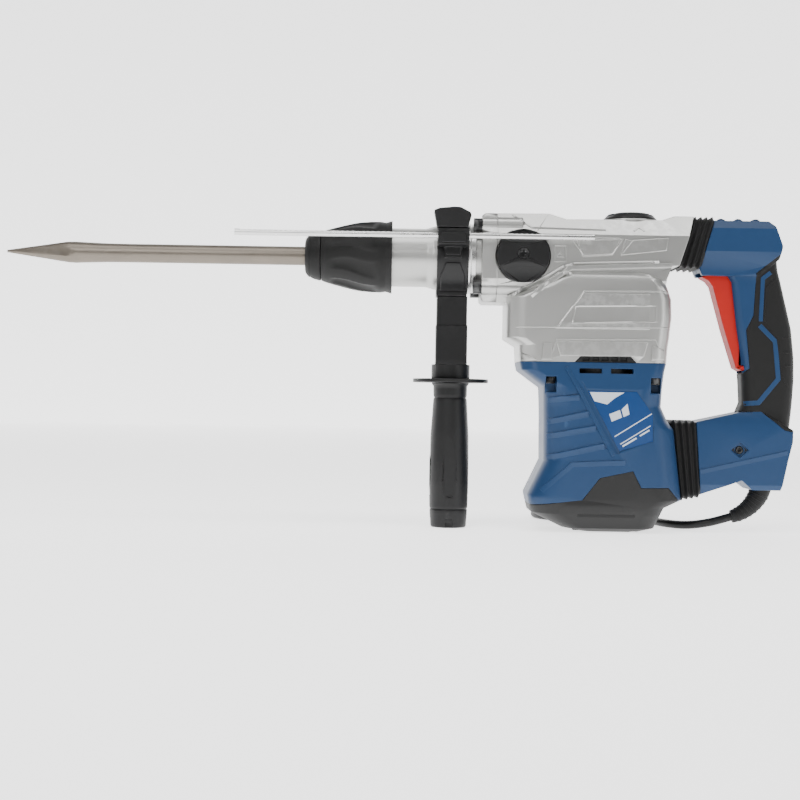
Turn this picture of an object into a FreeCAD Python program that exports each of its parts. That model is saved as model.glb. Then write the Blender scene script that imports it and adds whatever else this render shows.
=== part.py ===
"""Rotary hammer with a pointed chisel, side handle and depth rod, in millimetres.

The spindle lies along X with the tool at -X, the motor stands on Z below it, and the hammer
stands on the motor's end cover and on the end of the side grip, both at Z = 0.
"""
import FreeCAD
import Part
import Sketcher
import math
import os

from FreeCAD import Placement, Rotation, Vector

doc = FreeCAD.newDocument("rotary_hammer")
dim = doc.addObject("Spreadsheet::Sheet", "dim")
nodes = []

DIMENSIONS = {
    "spindle_height": 260,
    "barrel_half_width": 38,
    "barrel_bore": 31,
    "flange_front": -116.6,
    "flange_parting": -102.2,
    "neck_radius": 28.1,
    "neck_front": -202.7,
    "collar_radius": 30.6,
    "front_bolt_side": 27,
    "front_bolt_rise": 29.5,
    "motor_bore": 41,
    "foot_bore": 36,
    "stator_bottom": 80,
    "stator_top": 140,
    "stator_gap_radius": 23.2,
    "core_radius": 22.5,
    "shaft_radius": 6,
    "commutator_radius": 14,
    "fan_radius": 36,
    "gear_module": 1,
    "pinion_teeth": 13,
    "crank_teeth": 47,
    "intermediate_teeth": 59,
    "gear_play": 0.15,
    "gear_bottom": 196,
    "gear_width": 10,
    "bevel_module": 1.5,
    "bevel_pinion_teeth": 12,
    "bevel_ring_teeth": 36,
    "bevel_face": 6.5,
    "crank_throw": 12,
    "rod_length": 50,
    "cylinder_bore": 15,
    "cylinder_radius": 19,
    "nose_tube_radius": 16.5,
    "shank_radius": 9,
    "shank_bore": 9.05,
    "chisel_tip": -574.7,
    "chisel_rear": -174.7,
    "sleeve_front": -269,
    "sleeve_rear": -201.8,
    "band_front": -159,
    "band_rear": -129.6,
    "handle_line": -143.5,
    "rod_side": -48,
    "rod_height": 277,
    "rod_radius": 3,
    "rod_front": -349.5,
    "rod_rear": -12.6,
    "mode_knob_place": -78,
    "mode_knob_radius": 25.3,
    "selector_place": 27.8,
    "selector_radius": 25.8,
    "guard_radius": 36.4,
    "grip_end": 0,
    "rear_half_width": 24,
    "trigger_half_width": 10.5,
    "cord_radius": 4,
    "floor_gap": 0.2,
    "coil_x": 6,
    "coil_y": 124,
    "coil_inner": 30.8,
    "coil_turn_radius": 47,
    "coil_outer": 63.2,
    "coil_depth": 25,
    "screw_radius": 2.5,
}
for line, (alias, amount) in enumerate(DIMENSIONS.items(), 1):
    dim.set(f"A{line}", alias)
    dim.set(f"B{line}", str(amount))
    dim.setAlias(f"B{line}", alias)
doc.recompute()


def value(amount):
    """A number, or the value of an expression such as "dim.spindle_height - 4"."""
    if isinstance(amount, str):
        return float(dim.evalExpression(amount))
    return float(amount)


def bind(thing, path, amount):
    """Set a property by expression where the amount is one, else by its number."""
    thing.setExpression(path, amount if isinstance(amount, str) else repr(float(amount)))


def place(thing, at, rotation=None):
    if rotation:
        thing.Placement = Placement(Vector(0, 0, 0), rotation)
    for axis, amount in zip("xyz", at):
        bind(thing, f"Placement.Base.{axis}", amount)
    return thing


def node(name, thing):
    """Name a finished sub-part; its label is its file's name."""
    thing.Label = name
    nodes.append(thing)
    return thing


ALONG = {
    "x": Rotation(Vector(0, 1, 0), 90),
    "-x": Rotation(Vector(0, 1, 0), -90),
    "y": Rotation(Vector(1, 0, 0), -90),
    "-y": Rotation(Vector(1, 0, 0), 90),
    "z": Rotation(),
    "-z": Rotation(Vector(1, 0, 0), 180),
}


def cylinder(radius, length, at, along="z"):
    thing = doc.addObject("Part::Cylinder", "Cylinder")
    bind(thing, "Radius", radius)
    bind(thing, "Height", length)
    return place(thing, at, ALONG[along])


def block(low, high):
    """A box between two corners, each given as numbers or expressions."""
    thing = doc.addObject("Part::Box", "Box")
    for prop, start, end in zip(("Length", "Width", "Height"), low, high):
        bind(thing, prop, f"({end}) - ({start})")
    return place(thing, low)


def cone(radius_1, radius_2, length, at, along="z"):
    thing = doc.addObject("Part::Cone", "Cone")
    bind(thing, "Radius1", radius_1)
    bind(thing, "Radius2", radius_2)
    bind(thing, "Height", length)
    return place(thing, at, ALONG[along])


def fuse(*things):
    if len(things) == 1:
        return things[0]
    thing = doc.addObject("Part::MultiFuse", "Fuse")
    thing.Shapes = list(things)
    return thing


def common(base, tool):
    thing = doc.addObject("Part::Common", "Common")
    thing.Base = base
    thing.Tool = tool
    return thing


def cut(base, *tools):
    thing = doc.addObject("Part::Cut", "Cut")
    thing.Base = base
    thing.Tool = fuse(*tools)
    return thing


def group(*things):
    """Separate solids that share one sub-part."""
    thing = doc.addObject("Part::Compound", "Group")
    thing.Links = list(things)
    return thing


def mirrored(thing, normal=(0, 1, 0)):
    other = doc.addObject("Part::Mirroring", "Mirror")
    other.Source = thing
    other.Normal = Vector(*normal)
    return other


def both_sides(thing):
    return [thing, mirrored(thing)]


def sketch_in(body, role, points):
    """A closed outline in one of the body's origin planes, each corner held by two dimensions."""
    sketch = body.newObject("Sketcher::SketchObject", "Outline")
    plane = [item for item in body.Origin.OriginFeatures if item.Role == role][0]
    sketch.AttachmentSupport = [(plane, "")]
    sketch.MapMode = "FlatFace"
    flat = [Vector(value(across), value(up), 0) for across, up in points]
    sketch.addGeometry([Part.LineSegment(a, b) for a, b in zip(flat, flat[1:] + flat[:1])], False)
    for index, (corner, spot) in enumerate(zip(points, flat)):
        after = (index + 1) % len(points)
        sketch.addConstraint(Sketcher.Constraint("Coincident", index, 2, after, 1))
        for kind, amount, number in zip(("DistanceX", "DistanceY"), corner, (spot.x, spot.y)):
            held = sketch.addConstraint(Sketcher.Constraint(kind, -1, 1, index, 1, number))
            if isinstance(amount, str):
                sketch.setExpression(f"Constraints[{held}]", amount)
    return sketch


PLANES = {"xz": "XZ_Plane", "xy": "XY_Plane", "yz": "YZ_Plane"}


def plate(plane, points, thickness, at=(0, 0, 0), symmetric=True):
    """An outline padded to a plate: to both sides of its plane, or to one."""
    body = doc.addObject("PartDesign::Body", "Plate")
    sketch = sketch_in(body, PLANES[plane], points)
    pad = body.newObject("PartDesign::Pad", "Pad")
    pad.Profile = sketch
    pad.SideType = "Symmetric" if symmetric else "One side"
    bind(pad, "Length", thickness)
    return place(body, at)


def turned(axis, points, at=(0, 0, 0)):
    """A profile of (distance along the axis, radius) turned about X or Z."""
    body = doc.addObject("PartDesign::Body", "Turned")
    if axis == "z":
        points = [(radius, along) for along, radius in points]
    sketch = sketch_in(body, "XZ_Plane", points)
    spin = body.newObject("PartDesign::Revolution", "Spin")
    spin.Profile = sketch
    spin.ReferenceAxis = (sketch, ["H_Axis" if axis == "x" else "V_Axis"])
    spin.Angle = 360
    return place(body, at)


def rounded_section(height, low, high, half_width, front, rear):
    """A level rectangle with arcs at its corners, as one wire."""
    corners = [
        (high, half_width, rear, 0),
        (low, half_width, front, 90),
        (low, -half_width, front, 180),
        (high, -half_width, rear, 270),
    ]
    arcs = []
    for x, y, radius, turn in corners:
        centre = Vector(x - math.copysign(radius, x - (low + high) / 2), y - math.copysign(radius, y), height)
        spots = [
            centre + Vector(radius * math.cos(angle), radius * math.sin(angle), 0)
            for angle in (math.radians(turn + part) for part in (0, 45, 90))
        ]
        arcs.append(Part.Arc(*spots).toShape())
    edges = []
    for index, arc in enumerate(arcs):
        following = arcs[(index + 1) % 4]
        edges.append(arc)
        edges.append(Part.makeLine(arc.Vertexes[1].Point, following.Vertexes[0].Point))
    return Part.Wire(edges)


def stacked(levels):
    """A ruled loft through level rounded rectangles."""
    sections = []
    for level in levels:
        section = doc.addObject("Part::Feature", "Section")
        section.Shape = rounded_section(*level)
        sections.append(section)
    loft = doc.addObject("Part::Loft", "Loft")
    loft.Sections = sections
    loft.Solid = True
    loft.Ruled = True
    return loft


def built(shape, at=(0, 0, 0)):
    """A sub-part whose shape is worked out in code, placed afterwards."""
    thing = doc.addObject("Part::Feature", "Built")
    thing.Shape = shape
    return place(thing, at)


def cap_screw(head_radius, head_height, shank, length, at, along):
    """A socket head screw: its head starts at the place given, its shank goes on from there."""
    head = cylinder(head_radius, head_height, at, along)
    socket = doc.addObject("Part::Prism", "Socket")
    socket.Polygon = 6
    bind(socket, "Circumradius", f"{head_radius} * 0.5")
    bind(socket, "Height", f"{head_height} * 0.55")
    place(socket, at, ALONG[along])
    step = ALONG[along].multVec(Vector(0, 0, 1)) * head_height
    base = [f"({start}) + ({shift:.4f})" for start, shift in zip(at, step)]
    return fuse(cut(head, socket), cylinder(shank, length, base, along))


# ---- gear teeth -------------------------------------------------------------------------------

PRESSURE = math.radians(20)
TOOTH_SHARE = 0.44  # of the pitch, which leaves play between the flanks
TIP, ROOT = 0.85, 1.2  # height above and depth below the pitch circle, in modules


def involute(angle):
    return math.tan(angle) - angle


def half_tooth(teeth, module):
    """Radius and half angle of a tooth at its root, base, pitch and tip."""
    pitch = teeth * module / 2
    base = pitch * math.cos(PRESSURE)
    at_pitch = TOOTH_SHARE * math.pi / teeth
    spots = []
    for radius in (pitch - ROOT * module, pitch - 0.5 * module, pitch, pitch + TIP * module):
        flank = involute(math.acos(base / radius)) if radius > base else 0
        spots.append((radius, at_pitch + involute(PRESSURE) - flank))
    return spots


def spur_gear(teeth, module, width, bore, height):
    """A spur gear standing on Z with a tooth on +X, bored through."""
    spots = half_tooth(teeth, module)
    outline = []
    for index in range(teeth):
        heading = 2 * math.pi * index / teeth
        sides = [(radius, heading - angle) for radius, angle in spots]
        sides += [(radius, heading + angle) for radius, angle in reversed(spots)]
        outline += [Vector(r * math.cos(a), r * math.sin(a), height) for r, a in sides]
    face = Part.Face(Part.makePolygon(outline + outline[:1]))
    wheel = face.extrude(Vector(0, 0, width))
    if bore:
        wheel = wheel.cut(Part.makeCylinder(bore, width, Vector(0, 0, height)))
    return wheel


def bevel_gear(teeth, mate, module, face_width, back):
    """A straight bevel gear about Z whose cone's apex is the origin, with a tooth on +X.

    Its teeth are set out on the back cone. The blank reaches down by back behind the teeth.
    """
    slope = math.atan2(teeth, mate)
    reach = module / 2 * math.hypot(teeth, mate)
    spots = half_tooth(teeth / math.cos(slope), module)
    spots[0] = (spots[0][0] - 0.25 * module, spots[0][1])
    inner = 1 - face_width / reach

    def on_cone(radius, angle, scale):
        across = radius * math.cos(slope) * scale
        along = -(reach / math.cos(slope) - radius * math.sin(slope)) * scale
        turn = angle / math.cos(slope)
        return Vector(across * math.cos(turn), across * math.sin(turn), along)

    tooth_faces = []
    pairs = list(zip(spots, spots[1:]))
    for scale in (1, inner):
        for (r1, a1), (r2, a2) in pairs:
            corners = ((r1, -a1), (r1, a1), (r2, a2), (r2, -a2))
            ring = [on_cone(radius, angle, scale) for radius, angle in corners]
            tooth_faces.append(ring)
    for side in (-1, 1):
        for (r1, a1), (r2, a2) in pairs:
            tooth_faces.append([on_cone(r1, side * a1, 1), on_cone(r1, side * a1, inner),
                                on_cone(r2, side * a2, inner), on_cone(r2, side * a2, 1)])
    for radius, angle in (spots[0], spots[-1]):
        tooth_faces.append([on_cone(radius, -angle, 1), on_cone(radius, -angle, inner),
                            on_cone(radius, angle, inner), on_cone(radius, angle, 1)])
    shell = Part.Shell([Part.Face(Part.makePolygon(ring + ring[:1])) for ring in tooth_faces])
    tooth = Part.Solid(shell)
    if tooth.Volume < 0:
        tooth = Part.Solid(shell.reversed())
    root = spots[0][0] + 0.25 * module
    outer, small = on_cone(root, 0, 1), on_cone(root, 0, inner)
    profile = [Vector(0, 0, small.z), Vector(small.x, 0, small.z), Vector(outer.x, 0, outer.z),
               Vector(outer.x, 0, outer.z - back), Vector(0, 0, outer.z - back)]
    blank = Part.Face(Part.makePolygon(profile + profile[:1])).revolve(Vector(), Vector(0, 0, 1), 360)
    teeth_around = []
    for index in range(teeth):
        copy = tooth.copy()
        copy.rotate(Vector(), Vector(0, 0, 1), 360 * index / teeth)
        teeth_around.append(copy)
    return blank.fuse(teeth_around)


# ---- gear housing -----------------------------------------------------------------------------

H = "dim.spindle_height"
CRANK_X = "dim.gear_play + dim.gear_module * (dim.pinion_teeth + dim.crank_teeth) / 2"
INTERMEDIATE_X = "-dim.gear_play - dim.gear_module * (dim.pinion_teeth + dim.intermediate_teeth) / 2"

BARREL_SIDE = [
    ("dim.flange_parting", 301.6), (-52.5, 302), (-36.5, 296.5), (54.4, 297), (66.4, 301.4), (85.2, 301.3),
    (69.7, 253.1), (62.9, 252.6), (58, 240), (56, 222), (-60, 216), ("dim.flange_parting", 216),
]
BARREL_SECTION = [
    (-23, 302.5), (23, 302.5), ("dim.barrel_half_width", 281), ("dim.barrel_half_width", 238),
    (24, 216.5), (-24, 216.5), ("-dim.barrel_half_width", 238), ("-dim.barrel_half_width", 281),
]
CASE_LEVELS = [
    (160.5, -79.5, 59.7, 44, 16, 14),
    (175.9, -80.4, 60.8, 44, 16, 14),
    (183, -92.3, 61.8, 44, 18, 14),
    (203.9, -92.3, 64, 44, 18, 14),
    (221, -92.3, 63.4, 44, 18, 14),
    (232, -66, 59.5, 44, 18, 14),
    (240, -52, 56, 42, 18, 14),
    (247, -40, 44, 37, 18, 16),
]


def barrel(side, length, start):
    """A stretch of the barrel: its side outline kept inside its eight-sided section."""
    return common(plate("xz", side, "2 * dim.barrel_half_width"),
                  plate("yz", BARREL_SECTION, length, (start, 0, 0), symmetric=False))


def front_bolts(radius, start, length):
    """Cylinders on the four bolts that hold the front housing."""
    return [
        cylinder(radius, length, (start, f"{side} * dim.front_bolt_side", f"{H} + {rise} * dim.front_bolt_rise"), "x")
        for side in (-1, 1) for rise in (-1, 1)
    ]


def knob_seat():
    """The round seat in the side of both housings that the mode knob turns in."""
    return cylinder("dim.mode_knob_radius + 0.7", 2.2, ("dim.mode_knob_place", -38.2, H), "y")


def make_gear_housing():
    outer = fuse(
        barrel(BARREL_SIDE, 190, "dim.flange_parting"),
        stacked(CASE_LEVELS),
        *front_bolts(7.5, "dim.flange_parting", 24),
        cylinder(29, 1.8, ("dim.selector_place", 0, 296.5)),
        *both_sides(plate("xz", [(-28, 278), (14, 278), (6, 262), (-22, 260)], 2, (0, -38, 0))),
        *both_sides(plate("xz", [(18, 277), (52, 268), (14, 263)], 2, (0, -38, 0))),
        *both_sides(plate("xz", [(-47, 192), (-22, 225), (41, 225), (41, 192)], 2.4, (0, -44, 0))),
        *both_sides(plate("xz", [(-46, 180), (40, 180), (36, 166.5), (-42, 166.5)], 2, (0, -44, 0))),
        *both_sides(plate("xz", [(-79, 218), (-60, 234), (-40, 246.5), (-36, 251), (62, 255), (62, 251),
                                 (-33, 247), (-57, 230), (-75, 214)], 8, (0, -38, 0))),
    )
    openings = [
        cylinder("dim.barrel_bore", 158, ("dim.flange_parting - 0.1", 0, H), "x"),
        block((-66, -30, 224), (54, 30, 250)),
        block((-74, -34, 160), (57.2, 34, 214)),
        cylinder(13, 20, (CRANK_X, 0, 210)),
        cylinder(12, 20, (INTERMEDIATE_X, 0, 210)),
        knob_seat(),
        cylinder(6.1, 12, ("dim.mode_knob_place", -40, H), "y"),
        cylinder(7.1, 14, ("dim.selector_place", 0, 286)),
        *front_bolts(4.05, "dim.flange_parting - 0.1", 18),
        *both_sides(plate("xz", [(-33, 213), (42.5, 213), (42.5, 198), (-43, 198)], 2.4, (0, -45.6, 0))),
        *both_sides(plate("xz", [(-29, 160), (-23, 166.2), (24, 166.2), (30, 160)], 24, (0, -44, 0))),
        *[cylinder("dim.screw_radius + 0.05", 22, (x, y, 159), "z") for x in (-50.3, 48) for y in (-39, 39)],
        block((71.5, -16, 268), (90, 16, 288)),
    ]
    return node("gear_housing", cut(outer, *openings))


def make_bearing_flange():
    """The plate inside the case that carries the armature and the feet of both gear shafts."""
    base = block((-73.8, -33.8, 176), (57, 33.8, 186))
    bores = [cylinder(13, 12, (0, 0, 175)), cylinder(9, 12, (CRANK_X, 0, 175)),
             cylinder(9, 12, (INTERMEDIATE_X, 0, 175))]
    return node("bearing_flange", cut(base, *bores))


def make_front_housing():
    neck = turned("x", [
        ("dim.neck_front", 0), ("dim.neck_front", "dim.neck_radius"), (-169.4, "dim.neck_radius"),
        (-161, "dim.collar_radius"), ("dim.flange_front + 1", "dim.collar_radius"), ("dim.flange_front + 1", 0),
    ], (0, 0, H))
    side = [("dim.flange_front", 299), (-113.5, 301.6), ("dim.flange_parting", 301.6),
            ("dim.flange_parting", 216), (-113.5, 216), ("dim.flange_front", 219)]
    flange = common(plate("xz", side, "2 * dim.barrel_half_width"),
                    plate("yz", BARREL_SECTION, 20, ("dim.flange_front", 0, 0), symmetric=False))
    hollows = [
        cylinder(24, 9, ("dim.neck_front - 0.1", 0, H), "x"),
        cylinder(21.5, 34, ("dim.neck_front + 8", 0, H), "x"),
        cylinder(27, 75, (-165, 0, H), "x"),
        knob_seat(),
        *front_bolts(4.05, "dim.flange_front - 1", 18),
    ]
    bosses = front_bolts(7.5, "dim.flange_front", "dim.flange_parting - dim.flange_front")
    return node("front_housing", cut(fuse(neck, flange, *bosses), *hollows))


def make_index_ring():
    ring = turned("x", [(-129.3, 30.7), (-129.3, 34.2), (-127, 34.2), (-126.2, 33.2), (-122, 33.2), (-122, 30.7)],
                  (0, 0, H))
    return node("index_ring", ring)


def make_front_screws():
    spots = [(side, rise) for side in (-1, 1) for rise in (-1, 1)]
    screws = [
        cap_screw(6.5, 8, 4, 23, ("dim.flange_front - 8",
                                  f"{side} * dim.front_bolt_side", f"{H} + {rise} * dim.front_bolt_rise"), "x")
        for side, rise in spots
    ]
    return node("front_housing_screws", group(*screws))


def make_outlet_grilles():
    """A frame of upright ribs on each side, where the fan blows out."""
    slab = plate("xz", [(-28.4, 160.6), (-22.8, 166), (23.8, 166), (29.4, 160.6)], 4, (0, -42.4, 0))
    gaps = [block((x, -46, 161.6), (x + 6.5, -42, 165.2)) for x in (-21, -12.2, -3.4, 5.4, 14.2)]
    return node("air_outlet_grilles", group(*both_sides(cut(slab, *gaps))))


# ---- motor housing ----------------------------------------------------------------------------

MOTOR_LEVELS = [
    (0, -17.5, 39, 26, 12, 14),
    (3.7, -36.3, 51.9, 36, 18, 18),
    (17.9, -66, 57.4, 45, 26, 20),
    (23.6, -67.4, 59.8, 46.5, 26, 20),
    (31.3, -69.2, 76.4, 48, 26, 24),
    (34.8, -69.9, 75.9, 48, 26, 24),
    (66.9, -54.8, 72, 48, 26, 24),
    (98, -55.2, 68.3, 48, 26, 24),
    (106.4, -55.2, 62, 48, 26, 24),
    (119.3, -55.5, 55.7, 48, 26, 22),
    (136.6, -56, 55.9, 48, 22, 18),
    (152.7, -77.8, 57.5, 46, 16, 14),
    (160.5, -79.5, 59.7, 44, 16, 14),
]
COVER_SIDE = [
    (-90, 22.5), (-68.4, 25), (-19.8, 31), (-3.6, 51.9), (27.4, 58.8), (35.3, 43.2), (61.1, 43.6),
    (71.4, 32.5), (70.2, 28.5), (90, 20), (90, -5), (-90, -5),
]
FRONT_BANDS = [(126, 131), (106, 112.5), (93, 99.5), (75, 82)]  # lower edge at the front and at the panel


def motor_screw_spots():
    return [(x, y) for x in (-50.3, 48) for y in (-39, 39)]


def motor_body():
    """Housing and end cover in one, hollowed; the parting splits it afterwards."""
    panels = []
    for low, high in FRONT_BANDS:
        rear = -6 - 0.62 * ((low + high) / 2 - 95)
        outline = [(-47, low), (rear, high), (rear, high - 2.2), (-47, low - 1.6)]
        panels += both_sides(plate("xz", outline, 2.4, (0, -48.4, 0)))
    recess = plate("xz", [(-33, 156), (-29, 156), (15, 75), (11, 75)], 2.4, (0, -48.4, 0))
    hollows = [
        cylinder("dim.motor_bore", 97, (0, 0, 64)),
        cylinder("dim.foot_bore", 34, (0, 0, 34)),
        cylinder(11, 14, (0, 0, 22)),
        *[block((x, -60, 150), (x + 21, -30, 154.6)) for x in (-24, 5.5)],
        *[block((x, 30, 150), (x + 21, 60, 154.6)) for x in (-24, 5.5)],
        *[block((x - 5, y - 6 if y > 0 else y - 12, 132), (x + 5, y + 12 if y > 0 else y + 6, 146.5))
          for x, y in motor_screw_spots()],
        *[cylinder("dim.screw_radius + 0.1", 16, (x, y, 146)) for x, y in motor_screw_spots()],
        *both_sides(recess),
        *panels,
        *both_sides(plate("xz", [(-17, 134), (30, 133.6), (45.6, 112), (45.6, 86.7), (14, 77)], 1.2, (0, -48, 0))),
        block((62, -14, 60), (80, 14, 84)),
    ]
    return cut(stacked(MOTOR_LEVELS), *hollows)


def make_motor_housing():
    return node("motor_housing", cut(motor_body(), plate("xz", COVER_SIDE, 120)))


def make_end_cover():
    cover = common(motor_body(), plate("xz", COVER_SIDE, 120))
    step = fuse(*[block((-24, y, 12), (30, y + 4, 18)) for y in (-47, 43)])
    holes = [cylinder(4.2, 9, (x, y, -0.5)) for x in (-22, 30) for y in (-22, 22)]
    return node("motor_end_cover", cut(cover, step, *holes))


def make_motor_screws():
    screws = [cap_screw(4.4, 6.5, "dim.screw_radius", 30, (x, y, 140), "z") for x, y in motor_screw_spots()]
    return node("motor_housing_screws", group(*screws))


def make_cover_screws():
    """Four screws driven up from the foot."""
    screws = [cap_screw(4, 4, 2, 3.5, (x, y, 1), "z") for x in (-22, 30) for y in (-22, 22)]
    return node("end_cover_screws", group(*screws))


def make_labels():
    face = [(-16.6, 133.6), (29.6, 133.2), (45.2, 111.8), (45.2, 87), (14.2, 77.5)]
    front = plate("xz", face, 0.4, (0, -47.6, 0))
    return node("label_plates", group(*both_sides(front)))


def make_stator():
    low = "dim.stator_bottom"
    core = cylinder("dim.motor_bore - 0.3", "dim.stator_top - dim.stator_bottom", (0, 0, low))
    bore = cylinder("dim.stator_gap_radius", 80, (0, 0, "dim.stator_bottom - 5"))
    node("stator_core", cut(core, bore))
    ends = [
        cut(cylinder(38, 7.5, (0, 0, height)), cylinder(27, 9, (0, 0, f"({height}) - 1")))
        for height in ("dim.stator_bottom - 7.6", "dim.stator_top + 0.1")
    ]
    return node("stator_windings", group(*ends))


def make_brushes():
    holder = cut(block((16, -5, 50), (34, 5, 62)), block((15, -3.2, 52), (30, 3.2, 60)))
    node("brush_holders", group(holder, mirrored(holder, (1, 0, 0))))
    brush = block(("dim.commutator_radius + 0.1", -3, 52.2), (27, 3, 59.8))
    return node("carbon_brushes", group(brush, mirrored(brush, (1, 0, 0))))


def ball_bearing(bore, outer, width, at, along="z"):
    """Both rings and their balls, in one piece between the bore and the seat."""
    ring = cut(cylinder(outer, width, at, along), cylinder(bore, f"({width}) + 2", shifted(at, along, -1), along))
    groove = doc.addObject("Part::Torus", "Groove")
    bind(groove, "Radius1", f"(({bore}) + ({outer})) / 2")
    bind(groove, "Radius2", f"(({outer}) - ({bore})) * 0.16")
    place(groove, shifted(at, along, 0), ALONG[along])
    return cut(ring, groove)


def shifted(at, along, distance):
    step = ALONG[along].multVec(Vector(0, 0, 1)) * distance
    return [f"({start}) + ({shift:.4f})" for start, shift in zip(at, step)]


def make_bearings():
    node("motor_bearings", group(
        ball_bearing("dim.shaft_radius + 0.03", 12.95, 9.8, (0, 0, 176.1)),
        ball_bearing(4.03, 10.95, 9, (0, 0, 24)),
    ))
    node("gear_shaft_bearings", group(
        ball_bearing(6.03, 12.95, 9.6, (CRANK_X, 0, 214.2)),
        ball_bearing(5.03, 11.95, 9.6, (INTERMEDIATE_X, 0, 214.2)),
        ball_bearing(4.03, 8.95, 9.8, (CRANK_X, 0, 176.1)),
        ball_bearing(4.03, 8.95, 9.8, (INTERMEDIATE_X, 0, 176.1)),
    ))
    node("spindle_bearings", group(
        ball_bearing("dim.cylinder_radius + 0.03", 30.9, 13, (-76, 0, H), "x"),
        ball_bearing("dim.nose_tube_radius + 0.53", 21.4, 22, (-190, 0, H), "x"),
    ))
    seal = turned("x", [(-202.2, 17.1), (-202.2, 23.9), (-194.3, 23.9), (-194.3, 21), (-200, 20), (-200, 17.1)],
                  (0, 0, H))
    return node("nose_seal", seal)


# ---- armature and gear train ------------------------------------------------------------------


def gear(teeth, bore, low, width, x=0, turn=0):
    shape = spur_gear(int(value(teeth)), value("dim.gear_module"), width, bore, low)
    shape.rotate(Vector(), Vector(0, 0, 1), turn)
    return built(shape, (x, 0, 0))


def make_armature():
    shaft = fuse(
        cylinder(4, 12, (0, 0, 22.5)),
        cylinder("dim.shaft_radius", 154.5, (0, 0, 33)),
        cylinder(5, 10, (0, 0, 187)),
        gear("dim.pinion_teeth", 0, 195, 12),
    )
    node("armature_shaft", shaft)
    stack = cylinder("dim.core_radius", "dim.stator_top - dim.stator_bottom", (0, 0, "dim.stator_bottom"))
    slots = [cylinder(1.2, 64, (f"(dim.core_radius - 0.6) * cos({turn})", f"(dim.core_radius - 0.6) * sin({turn})",
                                "dim.stator_bottom - 2")) for turn in range(0, 360, 30)]
    ends = [cylinder(19, 7, (0, 0, height)) for height in ("dim.stator_bottom - 7", "dim.stator_top")]
    core = cut(fuse(cut(stack, *slots), *ends), cylinder("dim.shaft_radius", 90, (0, 0, 68)))
    node("armature_core", core)
    slits = []
    for turn in range(0, 360, 15):
        slit = Part.makeBox(3, 0.6, 18, Vector(value("dim.commutator_radius") - 1.2, -0.3, 47))
        slit.rotate(Vector(), Vector(0, 0, 1), turn + 7.5)
        slits.append(built(slit))
    drum = cut(cylinder("dim.commutator_radius", 20, (0, 0, 46)), cylinder("dim.shaft_radius", 24, (0, 0, 44)))
    node("commutator", cut(drum, *slits))
    hub = cylinder(11, 12, (0, 0, 160.8))
    disc = cylinder("dim.fan_radius - 3", 1.6, (0, 0, 160.8))
    blades = []
    for turn in range(0, 360, 30):
        blade = Part.makeBox(value("dim.fan_radius") - 13, 1.6, 11, Vector(10, -0.8, 161.4))
        blade.rotate(Vector(22, 0, 0), Vector(0, 0, 1), 24)
        blade.rotate(Vector(), Vector(0, 0, 1), turn)
        blades.append(built(blade))
    fan = cut(fuse(hub, disc, *blades), cylinder("dim.shaft_radius", 20, (0, 0, 158)))
    return node("cooling_fan", fan)


def make_crank():
    """The crank: its gear below the bearing, its disc and pin above, the pin towards +X at rest."""
    shaft = fuse(
        cylinder(4, 19.5, (CRANK_X, 0, 176.4)),
        cylinder(6, 40, (CRANK_X, 0, 195.8)),
        cylinder(19.5, 7, (CRANK_X, 0, 230.5)),
        cylinder(4.5, 16.4, (f"{CRANK_X} + dim.crank_throw", 0, 237.4)),
    )
    node("crank_shaft", shaft)
    tooth = 360 / value("dim.crank_teeth")
    return node("crank_gear", gear("dim.crank_teeth", 6, value("dim.gear_bottom"), value("dim.gear_width"),
                                  CRANK_X, 180 + tooth / 2))


def make_intermediate():
    pitch = value("dim.bevel_module * dim.bevel_pinion_teeth / 2")
    pinion = bevel_gear(int(value("dim.bevel_pinion_teeth")), int(value("dim.bevel_ring_teeth")),
                        value("dim.bevel_module"), value("dim.bevel_face"), 2.5)
    pinion.rotate(Vector(), Vector(0, 0, 1), 180)
    shaft = fuse(
        cylinder(4, 19.5, (INTERMEDIATE_X, 0, 176.4)),
        cylinder(5, 35, (INTERMEDIATE_X, 0, 195.8)),
        built(pinion, (INTERMEDIATE_X, 0, H)),
        cylinder(pitch - 1.5, 3, (INTERMEDIATE_X, 0, 225.5)),
    )
    node("intermediate_shaft", shaft)
    return node("intermediate_gear", gear("dim.intermediate_teeth", 5, value("dim.gear_bottom"), value("dim.gear_width"),
                                          INTERMEDIATE_X))


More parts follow.
